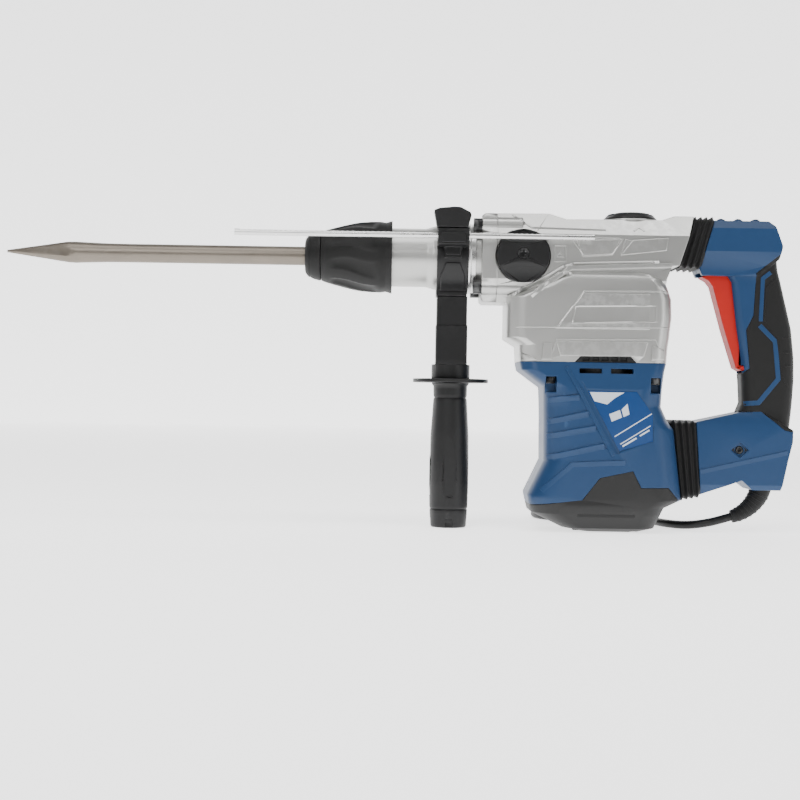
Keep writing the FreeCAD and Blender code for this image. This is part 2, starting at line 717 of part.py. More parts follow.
def make_spindle():
    """Tool holder, impact guide and cylinder in one tube, its bore stepping down to the shank."""
    outside = [
        (-270.4, 0), (-270.4, "dim.nose_tube_radius"), (-207.2, "dim.nose_tube_radius"), (-207.2, 21.8),
        (-204, 21.8), (-204, "dim.nose_tube_radius + 0.5"), (-165, "dim.nose_tube_radius + 0.5"),
        (-165, "dim.cylinder_radius"), (8, "dim.cylinder_radius"), (8, 0),
    ]
    bores = [
        cylinder("dim.shank_bore", 131, (-272, 0, H), "x"),
        cylinder("dim.cylinder_bore", 150, (-141.5, 0, H), "x"),
    ]
    node("spindle", cut(turned("x", outside, (0, 0, H)), *bores))
    ring = bevel_gear(int(value("dim.bevel_ring_teeth")), int(value("dim.bevel_pinion_teeth")),
                      value("dim.bevel_module"), value("dim.bevel_face"), 3)
    ring.rotate(Vector(), Vector(0, 0, 1), 180 / value("dim.bevel_ring_teeth"))
    ring.rotate(Vector(), Vector(0, 1, 0), 90)
    blank = built(ring, (INTERMEDIATE_X, 0, H))
    hub = cylinder(24, 8, (-59, 0, H), "x")
    node("ring_bevel_gear", cut(fuse(blank, hub), cylinder("dim.cylinder_radius", 80, (-90, 0, H), "x")))
    cap = turned("x", [
        (-285.8, "dim.shank_bore + 0.1"), (-285.8, 17.2), (-284.6, 19.6), (-281.5, 21.4), (-277, 22.6),
        (-270.6, 23.7), (-270.6, "dim.shank_bore + 0.1"),
    ], (0, 0, H))
    node("dust_cap", cap)
    coil = Part.makeHelix(7, 28, 19.2)
    wire = Part.Wire(Part.makeCircle(1, Vector(19.2, 0, 0), Vector(0, 1, 0)))
    spring = Part.Wire(coil).makePipeShell([wire], True, True)
    spring.rotate(Vector(), Vector(0, 1, 0), 90)
    return node("chuck_spring", built(spring, (-236.5, 0, H)))


def make_sleeve():
    """The locking sleeve: shallow flutes outside, hollow behind so that it slides over the neck."""
    outside = turned("x", [
        ("dim.sleeve_front", 0), ("dim.sleeve_front", 24), (-259, 26.8), (-249, 29.4), (-232.5, 33), (-215, 34.4),
        ("dim.sleeve_rear - 2", 34.8), ("dim.sleeve_rear", 34.2), ("dim.sleeve_rear", 0),
    ], (0, 0, H))
    flutes = []
    for turn in range(0, 360, 45):
        flute = Part.makeCone(3.5, 8, 48, Vector(-262, 0, 0), Vector(1, 0, 0))
        flute.rotate(Vector(-262, 0, 0), Vector(0, 1, 0), -5)
        flute.translate(Vector(0, 0, 33.2))
        flute.rotate(Vector(), Vector(1, 0, 0), turn)
        flutes.append(built(flute, (0, 0, H)))
    hollow = [
        cylinder("dim.nose_tube_radius + 0.06", 40, (-270, 0, H), "x"),
        cylinder(28.9, 45, (-240, 0, H), "x"),
    ]
    return node("locking_sleeve", cut(outside, *flutes, *hollow))


# ---- impact train and chisel ------------------------------------------------------------------

WRIST_X = f"{CRANK_X} + dim.crank_throw - dim.rod_length"


def make_impact_train():
    bolt = turned("x", [
        (-167.5, 0), (-167.5, 8), (-166.5, "dim.shank_bore - 0.05"), (-141, "dim.shank_bore - 0.05"),
        (-139, "dim.cylinder_bore - 0.05"), (-127, "dim.cylinder_bore - 0.05"), (-126, 9), (-117, 8.4), (-117, 0),
    ], (0, 0, H))
    node("impact_bolt", bolt)
    ram = turned("x", [
        (-111.5, 0), (-111.5, 7.5), (-104, 8.5), (-102, "dim.cylinder_bore - 0.04"), (-82, "dim.cylinder_bore - 0.04"),
        (-82, 13.6), (-79, 13.6), (-79, "dim.cylinder_bore - 0.04"), (-66, "dim.cylinder_bore - 0.04"),
        (-65, 13), (-65, 0),
    ], (0, 0, H))
    node("striker", ram)
    crown = cylinder("dim.cylinder_bore - 0.04", 29, (f"{WRIST_X} - 17", 0, H), "x")
    skirt = cylinder(11.6, 24, (f"{WRIST_X} - 9.5", 0, H), "x")
    groove = cut(cylinder(16, 3, (f"{WRIST_X} - 14", 0, H), "x"),
                 cylinder(13.6, 4, (f"{WRIST_X} - 14.5", 0, H), "x"))
    pin_hole = cylinder(4, 40, (WRIST_X, 0, f"{H} - 20"))
    node("piston", cut(crown, skirt, groove, pin_hole))
    node("wrist_pin", cylinder(3.98, 27.6, (WRIST_X, 0, f"{H} - 13.8")))
    big_eye = cylinder(8, 11.2, (f"{WRIST_X} + dim.rod_length", 0, f"{H} - 5.6"))
    small_eye = cylinder(7.2, 11.2, (WRIST_X, 0, f"{H} - 5.6"))
    shank = block((WRIST_X, -4, f"{H} - 4.5"), (f"{WRIST_X} + dim.rod_length", 4, f"{H} + 4.5"))
    holes = [cylinder(4.03, 20, (WRIST_X, 0, f"{H} - 10")),
             cylinder(4.55, 8, (f"{WRIST_X} + dim.rod_length", 0, f"{H} - 10"))]
    return node("connecting_rod", cut(fuse(big_eye, small_eye, shank), *holes))


def make_chisel():
    """Round stock with a four-sided point; two locking grooves in the shank."""
    stock = turned("x", [
        ("dim.chisel_tip", 0), ("dim.chisel_tip", 1.2), (-516, 10.6), (-490, 9.6), (-478, 9.2), (-452, "dim.shank_radius"),
        (-290, "dim.shank_radius"), ("dim.chisel_rear - 3", "dim.shank_radius"), ("dim.chisel_rear", 7.5), ("dim.chisel_rear", 0),
    ], (0, 0, H))
    wedge = [("dim.chisel_tip", -1.2), (-516, -9.6), (-490, -11.5), (-460, -14), ("dim.chisel_rear", -14),
             ("dim.chisel_rear", 14), (-460, 14), (-490, 11.5), (-516, 9.6), ("dim.chisel_tip", 1.2)]
    upright = plate("xz", wedge, 40, (0, 0, H))
    level = plate("xy", wedge, 40, (0, 0, H))
    grooves = [block((-230, side, f"{H} - 3"), (-196, side + 3, f"{H} + 3")) for side in (-9.5, 6.5)]
    return node("chisel", cut(common(common(stock, upright), level), *grooves))


# ---- controls ---------------------------------------------------------------------------------

def make_controls():
    at = ("dim.mode_knob_place", -36.3, H)
    disc = cylinder("dim.mode_knob_radius", 3.4, at, "-y")
    grip = common(cylinder("dim.mode_knob_radius - 0.6", 7, at, "-y"),
                  block((-105, -43, f"{H} - 11"), (-50, -37, f"{H} + 15")))
    spigot = cylinder(5.9, 5, ("dim.mode_knob_place", -36.4, H), "y")
    hole = cylinder(5.6, 3, ("dim.mode_knob_place", -40.6, f"{H} + 2"), "-y")
    node("mode_knob", cut(fuse(disc, grip, spigot), hole))
    screw = cut(cylinder(5.3, 2.2, ("dim.mode_knob_place", -40.7, f"{H} + 2"), "-y"),
                block((-79, -44, f"{H} - 1"), (-77, -42, f"{H} + 5")),
                block((-81, -44, f"{H} + 1"), (-75, -42, f"{H} + 3")))
    node("mode_knob_screw", screw)
    cap = turned("z", [
        (286.5, 0), (286.5, 6.9), (298.7, 6.9), (298.7, "dim.selector_radius"), (300, "dim.selector_radius"),
        (304.6, "dim.selector_radius - 4.4"), (305.5, "dim.selector_radius - 8"), (305.5, 0),
    ], ("dim.selector_place", 0, 0))
    bar_sides = [block((0, y, 302.6), (60, y + 9, 306)) for y in (-14, 5)]
    return node("top_selector", cut(cap, *bar_sides))


# ---- side handle ------------------------------------------------------------------------------

def make_side_handle():
    width = "dim.band_rear - dim.band_front"
    ring = cylinder(35.2, width, ("dim.band_front", 0, H), "x")
    raised = block((-152, -38, f"{H} - 3"), (-136, -20, f"{H} + 23.6"))
    lug = block(("dim.band_front", -54, f"{H} + 8"), ("dim.band_rear", -30, f"{H} + 23.6"))
    foot = plate("yz", [(-14, 240), (-16, 222.7), (16, 222.7), (14, 240)], width,
                 ("dim.band_front", 0, 0), symmetric=False)
    bores = [
        cylinder("dim.collar_radius + 0.3", 60, (-170, 0, H), "x"),
        cylinder("dim.rod_radius + 0.15", 60, (-170, "dim.rod_side", "dim.rod_height"), "x"),
        cylinder(5.3, 20, (-144.3, "dim.rod_side", "dim.rod_height + 3")),
        cylinder(5, 40, ("dim.handle_line", 0, 200)),
    ]
    node("handle_band", cut(fuse(ring, raised, lug, foot), *bores))
    stem = fuse(
        block((-158, -14, 194.5), (-129, 14, 222.5)),
        plate("yz", [(-15, 194.6), (-15, 162), (-18, 157), (18, 157), (15, 162), (15, 194.6)], 30,
              (-158.5, 0, 0), symmetric=False),
        cylinder(18.5, 13.6, ("dim.handle_line", 0, 143.5)),
        cylinder("dim.guard_radius", 3.6, ("dim.handle_line", 0, 139.6)),
        cylinder(4.9, 10, ("dim.handle_line", 0, 216)),
    )
    spigot = cylinder(6.2, 30, ("dim.handle_line", 0, 130))
    return node("handle_stem", cut(stem, spigot))


def make_side_grip():
    body = turned("z", [
        ("dim.grip_end", 0), ("dim.grip_end", 16.4), (1.5, 17.5), (17, 18.3), (17.4, 17.6), (18.2, 17.6),
        (18.8, 18.5), (28, 18.7), (45, 19.5), (60, 19.5), (93, 18.2), (124, 16.2), (124.4, 15.4), (125.6, 15.4),
        (126, 16.2), (136, 16.4), (139.2, 18.4), (139.2, 0),
    ], ("dim.handle_line", 0, 0))
    spigot = cylinder(6.1, 20, ("dim.handle_line", 0, 139))
    panels = [place(plate("xz", [(-6, 30), (6, 30), (6, 114), (-6, 114)], 2.4),
                    ("dim.handle_line", y, 0)) for y in (-19.6, 19.6)]
    sides = [place(plate("yz", [(-6, 30), (6, 30), (6, 114), (-6, 114)], 2.4),
                   (x, 0, 0)) for x in ("dim.handle_line - 19.6", "dim.handle_line + 19.6")]
    notches = [block((f"dim.handle_line + {x - 3.5}", y - 3.5, -1), (f"dim.handle_line + {x + 3.5}", y + 3.5, 9))
               for x, y in ((0, -18.6), (0, 18.6), (18.6, 0), (-18.6, 0))]
    return node("side_grip", cut(fuse(body, spigot), *panels, *sides, *notches))


def make_depth_rod():
    """The depth rod, toothed along its top."""
    front = ("dim.rod_front", "dim.rod_side", "dim.rod_height")
    rod = cylinder("dim.rod_radius", "dim.rod_rear - dim.rod_front", front, "x")
    pitch = 4.8
    count = int((value("dim.rod_rear") - value("dim.rod_front") - 10) / pitch)
    saw = []
    for index in range(count):
        x = value("dim.rod_front") + 5 + pitch * index
        saw += [Vector(x, 0, 2.5), Vector(x + pitch / 2, 0, 1.9)]
    top = [Vector(saw[-1].x, 0, 5), Vector(saw[0].x, 0, 5)]
    comb = Part.Face(Part.makePolygon(saw + top + saw[:1])).extrude(Vector(0, 8, 0))
    teeth = built(comb, (0, "dim.rod_side - 4", "dim.rod_height"))
    node("depth_rod", cut(rod, teeth))
    knob = plate("xz", [
        (-160, 284), (-163, 299.6), (-158, 301.6), (-144, 303), (-138, 302.6), (-129, 298), (-128, 295), (-131, 284),
    ], 17, (0, "dim.rod_side", 0))
    pin = cylinder(5.2, 4.2, (-144.3, "dim.rod_side", "dim.rod_height + 3.3"))
    return node("depth_lock_knob", fuse(knob, pin))


# ---- rear handle ------------------------------------------------------------------------------

UPPER_SIDE = [
    (105.6, 298.6), (158, 298.6), (163.6, 294), (170.8, 274.4), (168, 262), (150, 246), (118, 246), (95, 246.3),
    (92.2, 252.6),
]
UPPER_SECTION = [(-17, 302), (17, 302), (24, 291), (24, 269), (18, 256), (18, 240),
                 (-18, 240), (-18, 256), (-24, 269), (-24, 291)]
ARM_SIDE = [
    (90.9, 105.8), (133, 115.4), (150, 118.5), (183.3, 99.2), (182.9, 86.5), (179.3, 71.5), (173, 41.3),
    (146, 41.3), (135, 50.6), (96, 36),
]
GRIP_LEVELS = [
    (100, 137, 183.2, 18, 12, 12),
    (115.8, 133.5, 184.9, 18, 12, 12),
    (125, 137.2, 185.7, 18, 12, 12),
    (146.8, 136, 187, 18, 12, 12),
    (169, 133.9, 186.6, 18, 10, 12),
    (196, 129.6, 183.8, 17.5, 8, 12),
    (240.5, 124.1, 172.7, 17, 7, 10),
    (252, 117, 169.6, 17, 7, 10),
    (266.6, 112, 168.1, 17, 7, 10),
]
CUSHION_SIDE = [
    (168.4, 266.6), (147.3, 249.1), (145, 208.3), (138.3, 194.2), (142.3, 157.9), (135.7, 152.6), (120, 151.8),
    (120, 115.8), (132.5, 115.8), (154, 116.5), (175.1, 99.1), (182, 97.6), (200, 97), (200, 266.6),
]
HANDLE_CAVITY = [
    (94, 240), (94, 254), (150, 256.5), (160, 240), (168, 196), (172, 150), (170, 120), (146, 120), (144, 147),
    (126, 151), (100, 200),
]
TRIGGER_SIDE = [
    (96.1, 245.3), (102.8, 241.8), (107, 236.5), (118.5, 195.3), (130.4, 158.2), (133.4, 156.6), (138.4, 156.8),
    (140.5, 161), (134.5, 195.5), (129, 240.5), (123, 249.2), (107.2, 249.2),
]
TRIGGER_PIN = (136.4, 158)
LEFT_SCREWS = [(132.7, 79.6)]
RIGHT_SCREWS = [(112, 60), (162, 88), (128, 284), (158, 284)]


def inset_levels(levels, skin):
    return [(z, low + skin, high - skin, half - skin, front - skin, rear - skin)
            for z, low, high, half, front, rear in levels]


def handle_screw(x, z, side):
    """A countersunk-deep screw from one side through both shells."""
    along = "y" if side < 0 else "-y"
    return cap_screw(3.6, 3, 1.9, 30, (x, side * 21, z), along)


def make_rear_handle():
    """Two shells that part at Y = 0, with a soft cushion moulded round the grip."""
    arm = common(plate("xz", ARM_SIDE, "2 * dim.rear_half_width"),
                 plate("yz", [(-12, 30), (12, 30), (24, 46), (24, 104), (14, 122), (-14, 122), (-24, 104), (-24, 46)],
                       100, (88, 0, 0), symmetric=False))
    upper = common(plate("xz", UPPER_SIDE, 60), plate("yz", UPPER_SECTION, 90, (88, 0, 0), symmetric=False))
    bumps = [common(cylinder(6, 30, (x, -15, 295), "y"), block((x - 6, -15, 290), (x + 6, 15, 301)))
             for x in (113, 129.5, 146)]
    grip = stacked(GRIP_LEVELS)
    whole = fuse(upper, arm, grip, *bumps)
    pin_x, pin_z = TRIGGER_PIN
    cushion = cut(common(whole, plate("xz", CUSHION_SIDE, 80)), stacked(inset_levels(GRIP_LEVELS, 2.6)),
                  cylinder(2.7, 28, (pin_x, -14, pin_z), "y"))
    node("grip_overmould", cushion)
    hollows = [
        plate("xz", HANDLE_CAVITY, "2 * dim.trigger_half_width + 1.2"),
        cylinder(2.58, 28, (pin_x, -14, pin_z), "y"),
        cylinder(8, 29, (90, 0, 278), "x"),
        cylinder(8, 22, (88, 0, 72), "x"),
        cylinder(10.7, 12, (158.5, 0, 41)),
        plate("xz", [(124, 79.6), (132.7, 72.4), (141.4, 79.6), (132.7, 86.8)], 6, (0, -24, 0)),
        *[cylinder(1.95, 60, (x, -21, z), "y") for x, z in LEFT_SCREWS],
        *[cylinder(1.95, 34, (x, -12.5, z), "y") for x, z in RIGHT_SCREWS],
        *[cylinder(3.9, 9, (x, 17.9, z), "y") for x, z in RIGHT_SCREWS],
        *[cylinder(3.9, 5, (x, -22, z), "y") for x, z in LEFT_SCREWS],
    ]
    shells = cut(whole, cushion, *hollows)
    node("handle_shell_left", common(shells, block((80, -40, 20), (200, 0, 320))))
    node("handle_shell_right", common(shells, block((80, 0, 20), (200, 40, 320))))
    screws = [handle_screw(x, z, -1) for x, z in LEFT_SCREWS] + [handle_screw(x, z, 1) for x, z in RIGHT_SCREWS]
    node("handle_screws", group(*screws))
    switch = fuse(block((143, -9, 176), (158, 9, 232)), block((140.5, -4, 218), (143, 4, 228)))
    node("switch_body", switch)
    lever = plate("xz", TRIGGER_SIDE, "2 * dim.trigger_half_width")
    pivot = cylinder(2.5, 27, (pin_x, -13.5, pin_z), "y")
    return node("trigger", fuse(lever, pivot))


def folded(front, rear, half_width, folds, depth, hollow):
    """A bellows between two slanted lines, its outline in and out once for each fold."""
    def along(share, high, inward):
        a, b = (front[0], rear[0]) if high else (front[1], rear[1])
        drop = -inward if high else inward
        return (a[0] + (b[0] - a[0]) * share, a[1] + (b[1] - a[1]) * share + drop)
    shares = [0.03 + 0.94 * index / (2 * folds) for index in range(2 * folds + 1)]
    top = [along(share, True, depth if index % 2 == 0 else 0) for index, share in enumerate(shares)]
    bottom = [along(share, False, depth if index % 2 == 0 else 0) for index, share in enumerate(shares)]
    return cut(plate("xz", top + bottom[::-1], 2 * half_width), block(*hollow))


def make_bellows():
    upper = folded(((85.6, 302), (69.6, 252.2)), ((105.6, 302), (92.2, 251.4)), 25, 4, 2.4,
                   ((60, -19, 258), (115, 19, 293)))
    node("upper_bellows", upper)
    lower = folded(((67.2, 107.4), (76.6, 30)), ((90.6, 107.2), (95.9, 33.5)), 25, 4, 2.6,
                   ((60, -19, 42), (110, 19, 97)))
    node("lower_bellows", lower)
    springs = []
    for start, length, height in ((71.8, 46, 278), (62.3, 46.5, 72)):
        line = Part.Wire(Part.makeHelix(5.2, length - 3, 6.3))
        ring = Part.Wire(Part.makeCircle(1.1, Vector(6.3, 0, 0), Vector(0, 1, 0)))
        coil = line.makePipeShell([ring], True, True)
        coil.rotate(Vector(), Vector(0, 1, 0), 90)
        springs.append(built(coil, (start + 1.2, 0, height)))
    return node("damper_springs", group(*springs))


# ---- cord -------------------------------------------------------------------------------------

BOOT_LEAN = 17  # degrees forward of straight down where it leaves the gland
BOOT_END = 75
BOOT_BEND = 40
GLAND = Vector(158.5, 0, 41.3)


def boot_point(turn):
    """The boot's centre line: an arc that curves from the gland towards the floor ahead."""
    start, now = math.radians(BOOT_LEAN), math.radians(turn)
    ahead = BOOT_BEND * (math.cos(now) - math.cos(start))
    return GLAND + Vector(ahead, 0, BOOT_BEND * (math.sin(start) - math.sin(now)))


def make_boot():
    sections = []
    for index in range(7):
        share = index / 6
        turn = BOOT_LEAN + (BOOT_END - BOOT_LEAN) * share
        angle = math.radians(turn)
        direction = Vector(-math.sin(angle), 0, -math.cos(angle))
        if index == 0:
            direction = Vector(0, 0, -1)
        sections.append(Part.Wire(Part.makeCircle(10.2 - 4 * share, boot_point(turn), direction)))
    curved = Part.makeLoft(sections, True)
    collar = Part.makeCylinder(10.2, 8, GLAND)
    return node("cord_boot", built(curved.fuse(collar)))


ROUTE = [
    Vector(106, 0, 7.6), Vector(84.5, 11.5, 4.4), Vector(70.5, 31, 4.4), Vector(64.5, 55, 4.4),
    Vector(65, 79, 4.4), Vector(66.5, 99, 4.4),
]


def rounded_path(points, first):
    """Straight runs joined by arcs, each as large as its two shorter runs allow."""
    points = [first] + points
    edges, here = [], points[0]
    for before, corner, after in zip(points, points[1:], points[2:]):
        coming, going = (corner - before), (after - corner)
        turn = coming.getAngle(going)
        reach = 0.45 * min(coming.Length, going.Length)
        radius = reach / math.tan(turn / 2)
        start = corner - coming.normalize() * reach
        end = corner + going.normalize() * reach
        middle = corner + (going - coming).normalize() * (radius / math.cos(turn / 2) - radius)
        edges.append(Part.LineSegment(here, start).toShape())
        edges.append(Part.Arc(start, middle, end).toShape())
        here = end
    edges.append(Part.LineSegment(here, points[-1]).toShape())
    return Part.Wire(edges)


def make_cord():
    start = boot_point(BOOT_END)
    path = rounded_path(ROUTE, start)
    first = path.Edges[0]
    section = Part.Wire(Part.makeCircle(value("dim.cord_radius"), first.Vertexes[0].Point, first.tangentAt(0)))
    tube = path.makePipeShell([section], True, False)
    node("cord_lead", built(tube))
    floor = "dim.floor_gap"
    ring = cut(cylinder("dim.coil_outer", "dim.coil_depth", ("dim.coil_x", "dim.coil_y", floor)),
               cylinder("dim.coil_inner", 40, ("dim.coil_x", "dim.coil_y", -2)))
    node("cord_coil", ring)
    top = "dim.floor_gap + dim.coil_depth"
    side = "dim.coil_y - dim.coil_turn_radius"
    body = [
        cylinder(17, 24, ("dim.coil_x + 12", side, f"{top} + 17.3"), "x"),
        cone(15, 7, 22, ("dim.coil_x + 12", side, f"{top} + 17.3"), "-x"),
        *[cylinder(2.4, 19, ("dim.coil_x + 36", f"{side} + {y}", f"{top} + 17.3"), "x") for y in (-9.5, 9.5)],
    ]
    return node("mains_plug", fuse(*body))


def main():
    for make in (
        make_gear_housing, make_bearing_flange, make_front_housing, make_index_ring, make_front_screws,
        make_outlet_grilles, make_motor_housing, make_end_cover, make_motor_screws, make_cover_screws, make_labels,
        make_stator, make_brushes, make_bearings, make_armature, make_crank, make_intermediate, make_spindle,
        make_sleeve, make_impact_train, make_chisel, make_controls, make_side_handle, make_side_grip, make_depth_rod,
        make_rear_handle, make_bellows, make_boot, make_cord,
    ):
        make()
    doc.recompute()
    failed = [thing.Name for thing in doc.Objects if {"Invalid", "Error"} & set(thing.State)]
    unsound = [thing.Label for thing in nodes if thing.Shape.isNull() or not thing.Shape.isValid()]
    if failed or unsound:
        raise RuntimeError(f"failed: {failed}, unsound: {unsound}")
    os.makedirs("parts", exist_ok=True)
    for thing in nodes:
        thing.Shape.exportStep(f"parts/{thing.Label}.step")
    print(len(nodes), "sub-parts written")


main()
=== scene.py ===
"""Looks of a rotary hammer with a pointed chisel, standing on its motor cover and side grip."""

import math

import bmesh
import bpy
from bpy.props import FloatProperty, FloatVectorProperty, IntProperty, PointerProperty
from bpy.types import Operator, Panel, PropertyGroup
from mathutils import Matrix, Vector
from mathutils.bvhtree import BVHTree


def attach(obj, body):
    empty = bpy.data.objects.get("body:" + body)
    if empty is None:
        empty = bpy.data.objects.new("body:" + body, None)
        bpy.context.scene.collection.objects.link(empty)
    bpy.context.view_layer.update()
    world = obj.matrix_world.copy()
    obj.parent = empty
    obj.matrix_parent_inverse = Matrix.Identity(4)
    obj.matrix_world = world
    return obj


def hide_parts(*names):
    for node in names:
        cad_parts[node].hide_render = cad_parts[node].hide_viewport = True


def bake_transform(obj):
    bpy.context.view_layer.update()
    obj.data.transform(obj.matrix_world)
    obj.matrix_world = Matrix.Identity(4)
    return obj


bl_info = {
    "name": "Rotary Hammer",
    "version": (1, 0, 0),
    "blender": (4, 5, 0),
    "location": "View3D > Sidebar > Hammer",
    "description": "Finished pieces of a rotary hammer around its packed parts",
    "category": "Object",
}

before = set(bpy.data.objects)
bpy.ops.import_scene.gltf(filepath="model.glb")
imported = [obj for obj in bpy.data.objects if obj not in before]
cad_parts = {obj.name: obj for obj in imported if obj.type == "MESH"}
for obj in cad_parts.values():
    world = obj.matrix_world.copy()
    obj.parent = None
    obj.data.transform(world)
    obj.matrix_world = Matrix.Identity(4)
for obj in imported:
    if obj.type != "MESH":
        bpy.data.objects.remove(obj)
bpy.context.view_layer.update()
MM = 0.001
SPINDLE = 0.260  # height of the spindle's axis
MERGE = 2e-6  # how far apart the corners of a node's loose triangles may lie
SIDES = ((-1, "near"), (1, "far"))


def colour_property(name, description, default):
    return FloatVectorProperty(
        name=name, description=description, default=default, subtype="COLOR", size=3, min=0, max=1
    )


def length_property(name, description, default):
    return FloatProperty(
        name=name, description=description, default=default, min=0, unit="LENGTH", subtype="DISTANCE"
    )


class HammerColours(PropertyGroup):
    """Colours of the hammer's finishes."""

    alloy: colour_property("Alloy", "Cast gear case", (0.50, 0.50, 0.485))
    blue: colour_property("Blue", "Moulded housing and handle", (0.0105, 0.040, 0.108))
    plastic: colour_property("Dark plastic", "Covers, knobs and side handle", (0.006, 0.006, 0.0063))
    cover: colour_property("Cover", "Motor end cover", (0.012, 0.012, 0.012))
    rubber: colour_property("Rubber", "Grips, bellows and chuck sleeve", (0.004, 0.004, 0.0039))
    red: colour_property("Red", "Trigger", (0.42, 0.012, 0.008))
    chisel: colour_property("Chisel steel", "Dull brownish steel", (0.20, 0.175, 0.145))
    steel: colour_property("Bright steel", "Depth rod", (0.72, 0.72, 0.71))
    label_blue: colour_property("Label blue", "Glossy field of the label", (0.003, 0.04, 0.15))
    label_white: colour_property("Label white", "Printed fields of the label", (0.62, 0.66, 0.72))


class HammerSizes(PropertyGroup):
    """Sizes that a user may change."""

    edge: length_property("Edge", "Rounding of moulded and cast edges", 0.7 * MM)
    fine_edge: length_property("Fine edge", "Rounding of small edges", 0.35 * MM)
    cord: length_property("Cord", "Diameter of the mains lead", 8 * MM)
    coil_radius: length_property("Coil radius", "Middle radius of the put-away coil", 47 * MM)
    coil_points: IntProperty(
        name="Coil points", description="Route points in a turn of the coil", default=16, min=12
    )


def colours():
    return bpy.context.scene.hammer_colours


def sizes():
    return bpy.context.scene.hammer_sizes


def ease(share):
    """A share from 0 to 1 that starts and ends gently."""
    return share * share * (3 - 2 * share)


# ---- shader groups and materials ---------------------------------------------------------------

# Pointiness is 0.5 on a flat face, more on an outer edge and less in a corner.
EDGE_RAMP = (0.53, 0.60)
CORNER_RAMP = (0.47, 0.40)
BREAK_RAMP = (0.42, 0.62)
CORNER_SHADE, EDGE_SHADE = 0.72, 1.7  # of the base colour, where a finish names no other
COAT_ROUGHNESS = 0.08
BUMP_STRENGTH = 0.55


def group_tree(name, inputs, outputs):
    """An empty shader group with float inputs (name: default) and named outputs."""
    tree = bpy.data.node_groups.new(name, "ShaderNodeTree")
    for label, default in inputs.items():
        socket = tree.interface.new_socket(
            name=label, in_out="INPUT", socket_type="NodeSocketFloat"
        )
        socket.default_value = default
    for label in outputs:
        tree.interface.new_socket(name=label, in_out="OUTPUT", socket_type="NodeSocketFloat")
    return tree, tree.nodes.new("NodeGroupInput"), tree.nodes.new("NodeGroupOutput")


def math_node(tree, operation, first, second, clamp=False):
    node = tree.nodes.new("ShaderNodeMath")
    node.operation = operation
    node.use_clamp = clamp
    for socket, feed in zip(node.inputs, (first, second)):
        if isinstance(feed, (int, float)):
            socket.default_value = feed
        else:
            tree.links.new(feed, socket)
    return node.outputs[0]


def noise_node(tree, vector, scale, detail, roughness):
    node = tree.nodes.new("ShaderNodeTexNoise")
    node.inputs["Detail"].default_value = detail
    node.inputs["Roughness"].default_value = roughness
    tree.links.new(vector, node.inputs["Vector"])
    if isinstance(scale, (int, float)):
        node.inputs["Scale"].default_value = scale
    else:
        tree.links.new(scale, node.inputs["Scale"])
    return node.outputs["Fac"]


def ramp_node(tree, feed, low, high):
    node = tree.nodes.new("ShaderNodeMapRange")
    node.interpolation_type = "SMOOTHSTEP"
    node.inputs["From Min"].default_value = low
    node.inputs["From Max"].default_value = high
    tree.links.new(feed, node.inputs["Value"])
    return node.outputs["Result"]


def make_grain_group():
    """Fine texture height, and slow cloudiness, over the whole surface."""
    tree, given, result = group_tree(
        "Surface Grain", {"Scale": 1800.0, "Cloud Scale": 22.0}, ("Height", "Cloud")
    )
    where = tree.nodes.new("ShaderNodeTexCoord").outputs["Object"]
    fine = noise_node(tree, where, given.outputs["Scale"], 2.0, 0.6)
    cloud = noise_node(tree, where, given.outputs["Cloud Scale"], 4.0, 0.6)
    tree.links.new(fine, result.inputs["Height"])
    tree.links.new(cloud, result.inputs["Cloud"])


def make_wear_group():
    """A broken mask along outer edges, and one in the corners, which the finishes darken."""
    tree, given, result = group_tree(
        "Edge Wear", {"Amount": 0.5, "Break Up": 130.0}, ("Edge", "Corner")
    )
    where = tree.nodes.new("ShaderNodeTexCoord").outputs["Object"]
    pointiness = tree.nodes.new("ShaderNodeNewGeometry").outputs["Pointiness"]
    breaks = noise_node(tree, where, given.outputs["Break Up"], 5.0, 0.65)
    broken = ramp_node(tree, breaks, *BREAK_RAMP)
    edge = ramp_node(tree, pointiness, *EDGE_RAMP)
    scuffed = math_node(tree, "MULTIPLY", edge, broken)
    scuffed = math_node(tree, "MULTIPLY", scuffed, given.outputs["Amount"], True)
    tree.links.new(scuffed, result.inputs["Edge"])
    corner = ramp_node(tree, pointiness, *CORNER_RAMP)
    tree.links.new(corner, result.inputs["Corner"])


def make_streak_group():
    """Fine streaks along the spindle's direction."""
    tree, given, result = group_tree("Streaks", {"Along": 14.0, "Across": 900.0}, ("Streak",))
    where = tree.nodes.new("ShaderNodeTexCoord").outputs["Object"]
    stretch = tree.nodes.new("ShaderNodeCombineXYZ")
    tree.links.new(given.outputs["Along"], stretch.inputs["X"])
    for axis in "YZ":
        tree.links.new(given.outputs["Across"], stretch.inputs[axis])
    scaled = tree.nodes.new("ShaderNodeVectorMath")
    scaled.operation = "MULTIPLY"
    tree.links.new(where, scaled.inputs[0])
    tree.links.new(stretch.outputs[0], scaled.inputs[1])
    tree.links.new(noise_node(tree, scaled.outputs[0], 1.0, 3.0, 0.6), result.inputs["Streak"])


def group_node(tree, name, **values):
    node = tree.nodes.new("ShaderNodeGroup")
    node.node_tree = bpy.data.node_groups[name]
    for label, amount in values.items():
        node.inputs[label.replace("_", " ")].default_value = amount
    return node


def mixed(tree, factor, first, second):
    node = tree.nodes.new("ShaderNodeMix")
    node.data_type = "RGBA"
    tree.links.new(factor, node.inputs["Factor"])
    for socket, feed in ((node.inputs["A"], first), (node.inputs["B"], second)):
        if isinstance(feed, tuple):
            socket.default_value = feed
        else:
            tree.links.new(feed, socket)
    return node.outputs["Result"]


def shade(colour, factor):
    return tuple(min(1.0, part * factor) for part in colour) + (1.0,)


